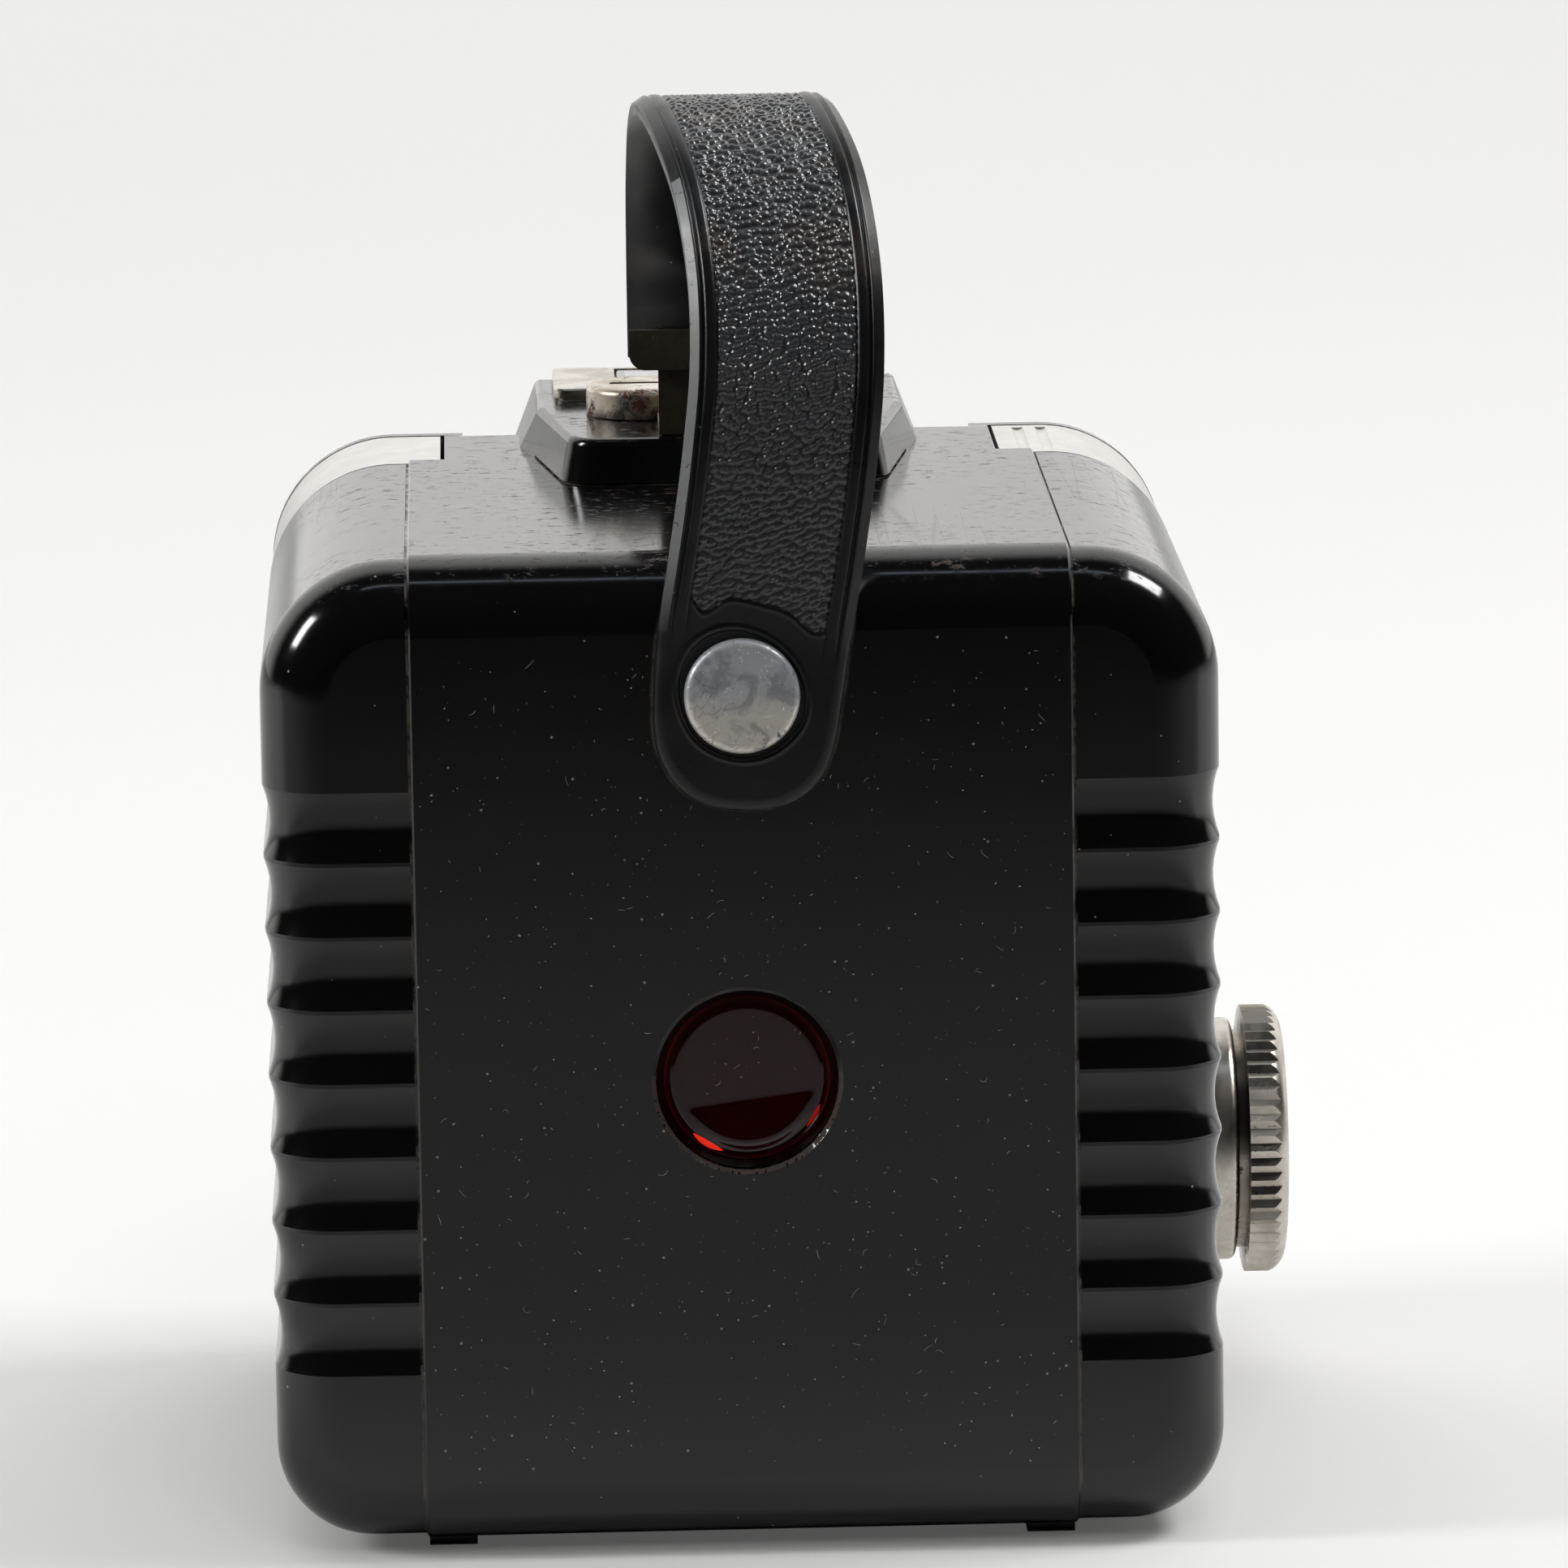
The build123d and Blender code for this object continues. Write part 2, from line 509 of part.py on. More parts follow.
with BuildPart() as winding_hub:
    add(rod_x(-45.6, -37.4, KNOB_Y, KNOB_Z, 2.9))
    with BuildSketch(knob_plane(-39.6)):
        with BuildLine():
            corners = []
            for k in range(TEETH):
                a = math.radians(360 / TEETH * k)
                b = math.radians(360 / TEETH * (k + 0.12))
                corners.append((6.4 * math.cos(a), 6.4 * math.sin(a)))
                corners.append((5.4 * math.cos(b), 5.4 * math.sin(b)))
            Polyline(*corners, close=True)
        make_face()
    extrude(amount=1.4)
    add(rod_x(-46, -37, KNOB_Y, KNOB_Z, 1.75), mode=Mode.SUBTRACT)
write(winding_hub, "winding_hub")

with BuildPart() as winding_pawl:
    add(box(-39.4, -38.4, KNOB_Y + 7.0, KNOB_Y + 7.5, KNOB_Z - 12, KNOB_Z + 3))
    add(box(-39.4, -34.8, KNOB_Y + 7.0, KNOB_Y + 7.5, KNOB_Z - 12, KNOB_Z - 8))
write(winding_pawl, "winding_pawl")

KNURLS = 56
with BuildPart() as dome:
    add(rod_x(KNOB_X, -50, KNOB_Y, KNOB_Z, KNOB_R + 0.1))
    fillet(dome.edges().sort_by(Axis.X)[0], 2.2)

with BuildPart() as flange:
    add(rod_x(-50.2, -46.4, KNOB_Y, KNOB_Z, 12.1))
    fillet(flange.edges().filter_by(GeomType.CIRCLE), 0.7)

with BuildPart() as winding_knob:
    with BuildSketch(knob_plane(KNOB_X)):
        with BuildLine():
            rim = []
            for k in range(2 * KNURLS):
                a = math.pi * k / KNURLS
                r = KNOB_R if k % 2 == 0 else KNOB_R - 0.42
                rim.append((r * math.cos(a), r * math.sin(a)))
            Polyline(*rim, close=True)
        make_face()
    extrude(amount=3.9)
    add(dome.part, mode=Mode.INTERSECT)
    add(rod_x(-51.3, -50.1, KNOB_Y, KNOB_Z, 10.9))
    add(flange.part)
    add(rod_x(-47, -45, KNOB_Y, KNOB_Z, 10.6), mode=Mode.SUBTRACT)
    add(rod_x(-56, -54.6, KNOB_Y, KNOB_Z, 8.4) - rod_x(-57, -54, KNOB_Y, KNOB_Z, 3.0),
        mode=Mode.SUBTRACT)
    add(rod_x(-52, -34.2, KNOB_Y, KNOB_Z, 1.68))
    add(box(-35, -29.4, KNOB_Y - 0.5, KNOB_Y + 0.5, KNOB_Z - 1.55, KNOB_Z + 1.55))
write(winding_knob, "winding_knob")

# ---------------------------------------------------------------- corner buttons
BUTTON_X, BUTTON_Y0, BUTTON_Y1 = 27.5, -39.9, -22.2
BUTTON_SINK = 0.1        # below the skin of the body
BUTTON_LOW, FLANK_X, FLANK_LOW = 88.3, 40.4, 78.2


def button_body(side, low, flank_low):
    """Skin of a corner button, following the body's rounded top corner."""
    block = box(BUTTON_X, 46, BUTTON_Y0, BUTTON_Y1, low, 96)
    block += box(FLANK_X, 46, BUTTON_Y0, BUTTON_Y1, flank_low, 96)
    shape = block & body_block(BUTTON_Y0, BUTTON_Y1, BUTTON_SINK)
    shape += rod_z(80.5, low + 1, STEM_X, STEM_Y, STEM_R)
    return shape if side > 0 else mirror(shape, about=Plane.YZ, mode=Mode.PRIVATE)


with BuildPart() as release_button:
    add(button_body(-1, BUTTON_LOW, FLANK_LOW))
    for x in (30.0, 32.3, 34.6, 36.9):
        add(rod_y(-38.5, -23.5, -x, 94.45, 0.8), mode=Mode.SUBTRACT)
write(release_button, "release_button")

with BuildPart() as long_exposure_button:
    add(button_body(1, 84.8, 74.6))
write(long_exposure_button, "long_exposure_button")

LEVER_X, LEVER_Z = -20.5, 71.0
with BuildPart() as release_lever:
    add(box(-37.5, LEVER_X, -40.3, -39.5, LEVER_Z - 2, LEVER_Z + 2))
    add(rod_y(-40.3, -39.5, LEVER_X, LEVER_Z, 3.2))
    add(box(-37.5, -32.5, -40.3, -28.5, LEVER_Z + 1.2, LEVER_Z + 2))
    add(box(-34.7, -32.5, -41, -27, LEVER_Z + 1.9, 79.6)
        & box(-37.5, -32.5, -32.0, -30.0, LEVER_Z, 79.6))
    add(rod_y(-41, -39, LEVER_X, LEVER_Z, 1.56), mode=Mode.SUBTRACT)
write(release_lever, "release_lever")

with BuildPart() as lever_pivot:
    add(rod_y(-40.9, -38.9, LEVER_X, LEVER_Z, 1.5))
    add(rod_y(-39.4, -38.9, LEVER_X, LEVER_Z, 2.6))
write(lever_pivot, "lever_pivot")

# ---------------------------------------------------------------- latch
with BuildPart() as latch_hub:
    add(rod_z(DECK_Z + 0.12, 101.8, HUB_X, HUB_Y, HUB_R))
    fillet(latch_hub.edges().sort_by(Axis.Z)[-1], 0.7)

with BuildPart() as latch_lever:
    add(latch_hub.part)
    add(rod_z(95.4, 99.5, HUB_X, HUB_Y, 2.35))
    arm = Rot(0, 0, 135) * box(0, 10.6, -2.4, 2.4, 100.1, 101.0)
    tip = Rot(0, 0, 135) * rod_z(100.1, 101.0, 10.6, 0, 2.4)
    add(Pos(HUB_X, HUB_Y, 0) * (arm + tip))
    add(box(HUB_X - 3.2, HUB_X + 3.2, HUB_Y - 0.55, HUB_Y + 0.55, 101.2, 102),
        mode=Mode.SUBTRACT)
write(latch_lever, "latch_lever")

# ---------------------------------------------------------------- back: window and pressure plate
with BuildPart() as red_window:
    add(rod_y(Y_BACK - 3.4, Y_BACK - 1.65, 0, WINDOW_Z, WINDOW_R + 1.9))
    add(rod_y(Y_BACK - 1.7, Y_BACK - 0.9, 0, WINDOW_Z, WINDOW_R - 0.15))
    add(rod_y(Y_BACK - 1.6, Y_BACK, 0, WINDOW_Z, WINDOW_R - 1.6), mode=Mode.SUBTRACT)
write(red_window, "red_window")

with BuildPart() as window_retainer:
    add(rod_y(Y_BACK - 4.2, Y_BACK - 3.4, 0, WINDOW_Z, WINDOW_R + 2.6))
    add(rod_y(Y_BACK - 3.4, Y_BACK - WALL, 0, WINDOW_Z, WINDOW_R + 2.6)
        - rod_y(Y_BACK - 4, Y_BACK, 0, WINDOW_Z, WINDOW_R + 2.0))
    add(rod_y(Y_BACK - 5, Y_BACK, 0, WINDOW_Z, WINDOW_R - 2.4), mode=Mode.SUBTRACT)
write(window_retainer, "window_retainer")

with BuildPart() as pressure_plate:
    add(box(-29.5, 29.5, 34.0, 34.8, 20.5, 80.5))
    fillet(pressure_plate.edges().filter_by(Axis.Y), 3)
    add(rod_y(33, 36, 0, WINDOW_Z, 6.4), mode=Mode.SUBTRACT)
write(pressure_plate, "pressure_plate")

for name, x in (("plate_spring_left", -22.0), ("plate_spring_right", 22.0)):
    with BuildPart() as plate_spring:
        with BuildSketch(Plane.YZ.offset(x - 3)):
            with BuildLine():
                ThreePointArc((Y_BACK - WALL, 26), (34.8, 50), (Y_BACK - WALL, 74))
                ThreePointArc((Y_BACK - WALL, 74), (35.4, 50), (Y_BACK - WALL, 26))
            make_face()
        extrude(amount=6)
        add(box(x - 3, x + 3, Y_BACK - WALL - 0.5, Y_BACK - WALL, 22, 27.5))
        add(box(x - 3, x + 3, Y_BACK - WALL - 0.5, Y_BACK - WALL, 72.5, 78))
    write(plate_spring, name)

# ---------------------------------------------------------------- carrying strap
STRAP_END_Y, STRAP_END_Z = -4.8, 106.6
CLASP_LOW, CLASP_HIGH, NECK_HALF = 105.4, 109.3, 6.3
CLASP_RIVETS = (-5.2, 1.6)
CLASP_RIVET_Z = 108.1
# stations along the strap's middle: X, Y, Z and the slope angle in the YZ plane
STRAP_STATIONS = (
    (0.0, STRAP_Y, 71.0, 90),
    (-0.4, STRAP_Y, 80.0, 90),
    (-1.2, STRAP_Y, 87.0, 90),
    (-2.6, STRAP_Y + 0.5, 95.5, 88),
    (-3.8, STRAP_Y + 0.9, 104.0, 92),
    (-4.6, STRAP_Y + 0.1, 112.0, 100),
    (-4.6, STRAP_Y - 3.0, 120.2, 119),
    (-3.6, STRAP_Y - 8.9, 127.6, 142),
    (-1.9, STRAP_Y - 17.0, 132.2, 163),
    (-0.5, STRAP_Y - 26.4, 133.6, 184),
    (0.1, STRAP_Y - 35.8, 130.9, 208),
    (0.3, STRAP_Y - 43.3, 124.6, 232),
    (0.3, STRAP_END_Y + 0.6, 117.0, 258),
    (0.3, STRAP_END_Y, 111.4, 270),
)
with BuildPart() as carrying_strap:
    for x, y, z, angle in STRAP_STATIONS:
        a = math.radians(angle)
        station = Plane(origin=(x, y, z), x_dir=(1, 0, 0), z_dir=(0, math.cos(a), math.sin(a)))
        with BuildSketch(station):
            Rectangle(2 * STRAP_HALF, STRAP_T)
    loft()
    add(box(0.3 - STRAP_HALF, 0.3 + STRAP_HALF, STRAP_END_Y - STRAP_T / 2,
            STRAP_END_Y + STRAP_T / 2, STRAP_END_Z, 111.4))
    # rounded lower end
    corner_cut = box(-12, 12, STRAP_Y - 2, STRAP_Y + 2, 70, 79.95)
    corner_cut -= rod_y(STRAP_Y - 3, STRAP_Y + 3, 0, 79.95, STRAP_HALF)
    add(corner_cut, mode=Mode.SUBTRACT)
    add(rod_y(STRAP_Y - 3, STRAP_Y + 3, 0, RIVET_Z, 2.1), mode=Mode.SUBTRACT)
    for x in CLASP_RIVETS:
        add(rod_y(-8, 0, x, CLASP_RIVET_Z, 0.8), mode=Mode.SUBTRACT)
    add(rod_y(STRAP_Y + STRAP_T / 2 - 0.35, STRAP_Y + 3, 0, RIVET_Z, RIVET_R + 0.5),
        mode=Mode.SUBTRACT)
write(carrying_strap, "carrying_strap")

with BuildPart() as rivet_head:
    add(rod_y(RIVET_SEAT, RIVET_SEAT + RIVET_HEAD, 0, RIVET_Z, RIVET_R))
    fillet(rivet_head.edges().sort_by(Axis.Y)[-1], 0.75)

with BuildPart() as strap_rivet:
    add(rod_y(Y_BACK - WALL - 1.3, RIVET_SEAT + 0.2, 0, RIVET_Z, 1.95))
    add(rivet_head.part)
    add(rod_y(Y_BACK - WALL - 1.5, Y_BACK - WALL - 0.8, 0, RIVET_Z, 3.2))
write(strap_rivet, "strap_rivet")

with BuildPart() as rivet_washer:
    add(rod_y(Y_BACK - WALL - 0.8, Y_BACK - WALL, 0, RIVET_Z, 5.5)
        - rod_y(Y_BACK - WALL - 1, Y_BACK, 0, RIVET_Z, 2.0))
write(rivet_washer, "rivet_washer")

FOOT_Z0, FOOT_Z1 = DECK_Z + 0.15, DECK_Z + 0.95
with BuildPart() as strap_clasp:
    clasp_y0 = STRAP_END_Y - STRAP_T / 2 - 0.8
    clasp_y1 = STRAP_END_Y + STRAP_T / 2 + 0.8
    add(box(-8.9, 9.1, clasp_y0, clasp_y1, CLASP_LOW, CLASP_HIGH))
    fillet(strap_clasp.edges().filter_by(Axis.Y).sort_by(Axis.Z)[:2], 1.6)
    add(box(-10, 10, clasp_y0 + 0.68, clasp_y1 - 0.68, STRAP_END_Z - 0.05, CLASP_HIGH + 1),
        mode=Mode.SUBTRACT)
    add(box(-NECK_HALF, NECK_HALF, STRAP_END_Y - 0.4, STRAP_END_Y + 0.5, FOOT_Z0, CLASP_LOW + 1))
    add(box(-NECK_HALF, NECK_HALF, -13.8, STRAP_END_Y + 0.5, FOOT_Z0, FOOT_Z1))
    for x in CLASP_RIVETS:
        add(rod_y(clasp_y0 - 1, clasp_y1 + 1, x, CLASP_RIVET_Z, 0.8), mode=Mode.SUBTRACT)
write(strap_clasp, "strap_clasp")
for name, x in zip(("clasp_rivet_left", "clasp_rivet_right"), CLASP_RIVETS):
    with BuildPart() as clasp_rivet:
        add(rod_y(clasp_y0 - 0.4, clasp_y1 + 0.4, x, CLASP_RIVET_Z, 0.78))
        add(rod_y(clasp_y0 - 0.5, clasp_y0, x, CLASP_RIVET_Z, 1.4))
        add(rod_y(clasp_y1, clasp_y1 + 0.5, x, CLASP_RIVET_Z, 1.4))
    write(clasp_rivet, name)
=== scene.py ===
import json
import math

import bpy
import numpy as np
from mathutils import Euler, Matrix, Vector


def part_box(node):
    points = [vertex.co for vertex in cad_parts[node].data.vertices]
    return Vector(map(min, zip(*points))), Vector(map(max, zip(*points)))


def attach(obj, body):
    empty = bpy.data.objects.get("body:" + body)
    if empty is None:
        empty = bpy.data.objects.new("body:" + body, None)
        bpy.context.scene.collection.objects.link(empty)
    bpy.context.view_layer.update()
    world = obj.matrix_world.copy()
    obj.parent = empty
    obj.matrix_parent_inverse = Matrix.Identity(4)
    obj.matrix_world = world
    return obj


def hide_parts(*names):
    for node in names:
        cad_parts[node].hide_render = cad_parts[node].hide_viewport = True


# Looks for the moulded box camera: materials, carrying strap, window, dust and studio.
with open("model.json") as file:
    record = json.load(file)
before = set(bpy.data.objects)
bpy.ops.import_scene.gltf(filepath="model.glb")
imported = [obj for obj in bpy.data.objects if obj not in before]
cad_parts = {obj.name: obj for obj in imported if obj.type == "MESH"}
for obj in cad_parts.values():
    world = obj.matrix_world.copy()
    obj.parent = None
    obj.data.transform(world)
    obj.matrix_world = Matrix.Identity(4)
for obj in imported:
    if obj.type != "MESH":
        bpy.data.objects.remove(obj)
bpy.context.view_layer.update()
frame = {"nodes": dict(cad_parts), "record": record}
NODES = frame["nodes"]
MM = 0.001
# the middle of the camera's body: pieces below are placed from it, in millimetres
REAR_LOW, REAR_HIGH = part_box("rear_shell")
BODY_X = (REAR_LOW.x + REAR_HIGH.x) / 2 / MM
BACK_FACE = REAR_HIGH.y / MM
BACK_DEPTH = 43.85         # from the body's middle plane to the band on its back
BODY_Y = BACK_FACE - BACK_DEPTH
DECK = REAR_HIGH.z / MM
RIVET_Z = sum(v.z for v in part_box("strap_rivet")) / 2 / MM


# ---------------------------------------------------------------- node-tree helpers
class Tree:
    """Builds one material's nodes with short calls."""

    def __init__(self, name):
        self.mat = bpy.data.materials.new(name)
        self.mat.use_nodes = True
        self.nodes = self.mat.node_tree.nodes
        self.links = self.mat.node_tree.links
        self.bsdf = next(n for n in self.nodes if n.type == "BSDF_PRINCIPLED")
        self.place = self.nodes.new("ShaderNodeTexCoord").outputs["Object"]

    def link(self, source, target):
        if isinstance(source, (int, float, tuple)):
            target.default_value = source
        else:
            self.links.new(source, target)

    def scaled(self, factors, turn=(0, 0, 0)):
        """The object coordinate, stretched by factors and turned."""
        node = self.nodes.new("ShaderNodeMapping")
        node.inputs["Scale"].default_value = factors
        node.inputs["Rotation"].default_value = turn
        self.links.new(self.place, node.inputs["Vector"])
        return node.outputs["Vector"]

    def noise(self, scale, detail=3.0, rough=0.5, vector=None, warp=0.0):
        node = self.nodes.new("ShaderNodeTexNoise")
        node.inputs["Scale"].default_value = scale
        node.inputs["Detail"].default_value = detail
        node.inputs["Roughness"].default_value = rough
        node.inputs["Distortion"].default_value = warp
        self.link(vector or self.place, node.inputs["Vector"])
        return node.outputs["Fac"]

    def cells(self, scale, feature="F1", vector=None):
        node = self.nodes.new("ShaderNodeTexVoronoi")
        node.feature = feature
        node.inputs["Scale"].default_value = scale
        node.inputs["Randomness"].default_value = 1.0
        self.link(vector or self.place, node.inputs["Vector"])
        return node

    def ramp(self, source, low, high, out_low=0.0, out_high=1.0):
        """Smooth step of source between low and high."""
        node = self.nodes.new("ShaderNodeMapRange")
        node.interpolation_type = "SMOOTHSTEP"
        for key, value in (("From Min", low), ("From Max", high),
                           ("To Min", out_low), ("To Max", out_high)):
            node.inputs[key].default_value = value
        self.link(source, node.inputs["Value"])
        return node.outputs["Result"]

    def math(self, kind, a, b=0.0):
        node = self.nodes.new("ShaderNodeMath")
        node.operation = kind
        self.link(a, node.inputs[0])
        self.link(b, node.inputs[1])
        return node.outputs[0]

    def mix(self, factor, a, b):
        node = self.nodes.new("ShaderNodeMix")
        node.data_type = "RGBA"
        self.link(factor, node.inputs[0])
        self.link(a, node.inputs[6])
        self.link(b, node.inputs[7])
        return node.outputs[2]

    def facing(self, axis):
        """How far the true surface faces along an axis: 0 = X, 1 = Y, 2 = Z."""
        geometry = self.nodes.new("ShaderNodeNewGeometry")
        split = self.nodes.new("ShaderNodeSeparateXYZ")
        self.links.new(geometry.outputs["Normal"], split.inputs[0])
        return split.outputs[axis]

    def along(self, axis):
        """The object coordinate along one axis, in metres."""
        split = self.nodes.new("ShaderNodeSeparateXYZ")
        self.links.new(self.place, split.inputs[0])
        return split.outputs[axis]

    def bump(self, height, distance, strength=1.0, before=None):
        node = self.nodes.new("ShaderNodeBump")
        node.inputs["Distance"].default_value = distance
        node.inputs["Strength"].default_value = strength
        self.link(height, node.inputs["Height"])
        if before is not None:
            self.links.new(before, node.inputs["Normal"])
        return node.outputs["Normal"]

    def set(self, **values):
        for key, value in values.items():
            self.link(value, self.bsdf.inputs[key.replace("_", " ")])

    def crevices(self, distance):
        """1 in tight inner corners, 0 in the open."""
        node = self.nodes.new("ShaderNodeAmbientOcclusion")
        node.samples = 6
        node.inputs["Distance"].default_value = distance
        return self.ramp(node.outputs["AO"], 0.35, 0.85, 1.0, 0.0)


def specks(tree, scale, size, share):
    """Sparse round specks: cell size 1/scale, radius as a share of the cell, share of cells used."""
    cell = tree.cells(scale)
    pick = tree.nodes.new("ShaderNodeSeparateColor")
    tree.links.new(cell.outputs["Color"], pick.inputs[0])
    chosen = tree.math("LESS_THAN", pick.outputs[0], share)
    radius = tree.math("MULTIPLY", pick.outputs[1], size)
    dot = tree.math("LESS_THAN", cell.outputs["Distance"], radius)
    return tree.math("MULTIPLY", dot, chosen)


def scratches(tree, spacing, turn, width):
    """Fine straight scratches along one direction."""
    stretched = tree.scaled((spacing, spacing * 0.02, spacing), turn)
    cell = tree.cells(1.0, "DISTANCE_TO_EDGE", stretched)
    return tree.ramp(cell.outputs["Distance"], 0.0, width, 1.0, 0.0)


# ---------------------------------------------------------------- materials
def bakelite():
    """Glossy black moulding with haze, dust, fine rubbing, brown grime and dusty seams."""
    t = Tree("bakelite")
    up = t.ramp(t.facing(2), 0.55, 0.95)
    blotch = t.noise(38, 5, 0.6, warp=0.6)
    grime_spots = t.ramp(t.noise(520, 7, 0.8, t.scaled((1, 2.0, 1))), 0.57, 0.64)
    grime = t.math("MULTIPLY", t.math("MULTIPLY", grime_spots, up), t.ramp(blotch, 0.40, 0.56))
    grime = t.math("MULTIPLY", grime, 0.85)
    mote = specks(t, 620, 0.085, 0.30)
    fleck = specks(t, 300, 0.05, 0.22)
    marks = t.math("MAXIMUM", mote, fleck)
    film = t.ramp(t.noise(9, 4, 0.55, t.scaled((1, 1, 0.6))), 0.4, 0.7)
    base = t.mix(film, (0.0030, 0.0031, 0.0034, 1), (0.0042, 0.0041, 0.0040, 1))
    base = t.mix(grime, base, (0.060, 0.030, 0.018, 1))
    dusty = t.math("MULTIPLY", t.crevices(0.0005), t.ramp(t.noise(260, 4, 0.7), 0.35, 0.62))
    base = t.mix(t.math("MULTIPLY", dusty, 0.8), base, (0.26, 0.23, 0.19, 1))
    base = t.mix(t.math("MULTIPLY", marks, 0.6), base, (0.42, 0.40, 0.37, 1))
    fine = t.noise(900, 3, 0.6)
    rub = scratches(t, 260, (0.2, 0.3, 0.9), 0.02)
    rub2 = scratches(t, 200, (0.7, 0.1, -0.5), 0.02)
    both = t.math("MULTIPLY", t.math("MAXIMUM", rub, rub2), t.ramp(t.noise(45, 2), 0.52, 0.66))
    rough = t.math("ADD", t.ramp(film, 0, 1, 0.10, 0.16), t.math("MULTIPLY", fine, 0.04))
    rough = t.math("ADD", rough, t.math("MULTIPLY", grime, 0.45))
    rough = t.math("ADD", rough, t.math("MULTIPLY", t.math("MAXIMUM", marks, dusty), 0.4))
    rough = t.math("ADD", rough, t.math("MULTIPLY", both, 0.06))
    normal = t.bump(t.noise(55, 2, 0.4), 0.00008, 0.5)
    normal = t.bump(t.math("ADD", grime, marks), 0.00005, 0.7, normal)
    t.set(Base_Color=base, Roughness=rough, IOR=1.56, Normal=normal)
    return t.mat


def vinyl():
    """Black leathercloth: satin, slightly dusty, browner towards the top of the loop."""
    t = Tree("vinyl")
    patch = t.noise(70, 4, 0.6)
    marks = t.math("MAXIMUM", specks(t, 800, 0.10, 0.22), specks(t, 330, 0.05, 0.22))
    high = t.ramp(t.along(2), 0.105, 0.130)
    stain = t.ramp(t.noise(160, 5, 0.7), 0.50, 0.72)
    brown = t.math("MULTIPLY", stain, t.ramp(high, 0, 1, 0.15, 0.8))
    base = t.mix(patch, (0.0034, 0.0036, 0.0042, 1), (0.0056, 0.0058, 0.0066, 1))
    base = t.mix(brown, base, (0.034, 0.024, 0.018, 1))
    base = t.mix(t.math("MULTIPLY", marks, 0.5), base, (0.36, 0.33, 0.29, 1))
    rough = t.ramp(t.noise(240, 4, 0.6), 0.3, 0.7, 0.27, 0.38)
    normal = t.bump(t.noise(2600, 3, 0.6), 0.00003, 0.4)
    t.set(Base_Color=base, Roughness=rough, IOR=1.5, Normal=normal, Sheen_Weight=0.03,
          Sheen_Roughness=0.4)
    return t.mat


def vinyl_grain():
    """Pebbled panel of the leathercloth: painted sheen keeps it lighter than the border; painted
    shade darkens its grooves.
    """
    t = Tree("vinyl_grain")
    patch = t.noise(90, 4, 0.6)
    high = t.ramp(t.along(2), 0.105, 0.130)
    stain = t.ramp(t.noise(160, 5, 0.7), 0.46, 0.66)
    brown = t.math("MULTIPLY", stain, t.ramp(high, 0, 1, 0.12, 0.85))
    # painted sheen: the panel's base is far lighter than the border's, standing in for glints on the
    # pebbles
    base = t.mix(patch, (0.030, 0.031, 0.034, 1), (0.044, 0.045, 0.048, 1))
    # painted shade in the grooves between the pebbles
    base = t.mix(t.math("MULTIPLY", t.crevices(0.0004), 0.85), base, (0.005, 0.005, 0.005, 1))
    base = t.mix(t.math("MULTIPLY", brown, 0.8), base, (0.050, 0.036, 0.026, 1))
    base = t.mix(t.math("MULTIPLY", specks(t, 800, 0.10, 0.22), 0.5), base, (0.36, 0.33, 0.29, 1))
    rough = t.ramp(t.noise(240, 4, 0.6), 0.3, 0.7, 0.24, 0.34)
    normal = t.bump(t.noise(2600, 3, 0.6), 0.00003, 0.4)
    t.set(Base_Color=base, Roughness=rough, IOR=1.55, Normal=normal, Sheen_Weight=0.08,
          Sheen_Roughness=0.4, Coat_Weight=0.5, Coat_Roughness=0.16)
    return t.mat


def vinyl_edge():
    """Bevel along the strap's rim: a grey painted reflection that fades to dark at its lower end,
    dull, with dark nicks of wear.
    """
    t = Tree("vinyl_edge")
    nicks = t.ramp(t.noise(700, 5, 0.7), 0.60, 0.66)
    # painted reflection: grey on the bevel above about 9 cm height, fading to dark below
    level = t.ramp(t.along(2), 0.086, 0.098)
    grey = t.mix(t.noise(120, 3), (0.15, 0.152, 0.155, 1), (0.26, 0.262, 0.268, 1))
    base = t.mix(level, (0.008, 0.008, 0.009, 1), grey)
    base = t.mix(nicks, base, (0.010, 0.010, 0.010, 1))
    rough = t.ramp(t.noise(400, 3), 0.3, 0.7, 0.30, 0.42)
    t.set(Base_Color=base, Roughness=rough, IOR=1.5, Normal=t.bump(nicks, 0.00003, -0.6))
    return t.mat


def edge_grime():
    """Dried brown dirt and dust packed along an edge."""
    t = Tree("edge_grime")
    base = t.mix(t.noise(1800, 4, 0.7), (0.010, 0.007, 0.006, 1), (0.085, 0.060, 0.050, 1))
    rough = t.ramp(t.noise(900, 2), 0.3, 0.7, 0.75, 0.95)
    t.set(Base_Color=base, Roughness=rough, Normal=t.bump(t.noise(2500, 3), 0.00004, 0.8))
    return t.mat


def grey_plastic():
    """Light grey moulding with faint mottling, darkened to brown in its tight corners."""
    t = Tree("grey_plastic")
    mottle = t.noise(120, 5, 0.6)
    base = t.mix(mottle, (0.50, 0.485, 0.455, 1), (0.60, 0.585, 0.555, 1))
    base = t.mix(t.math("MULTIPLY", t.crevices(0.0012), 0.75), base, (0.10, 0.075, 0.05, 1))
    base = t.mix(t.math("MULTIPLY", specks(t, 600, 0.1, 0.2), 0.6), base, (0.12, 0.09, 0.06, 1))
    rough = t.ramp(t.noise(400, 3), 0.3, 0.7, 0.28, 0.42)
    normal = t.bump(t.noise(500, 3), 0.00004, 0.5)
    t.set(Base_Color=base, Roughness=rough, IOR=1.5, Normal=normal, Subsurface_Weight=0.03)
    return t.mat


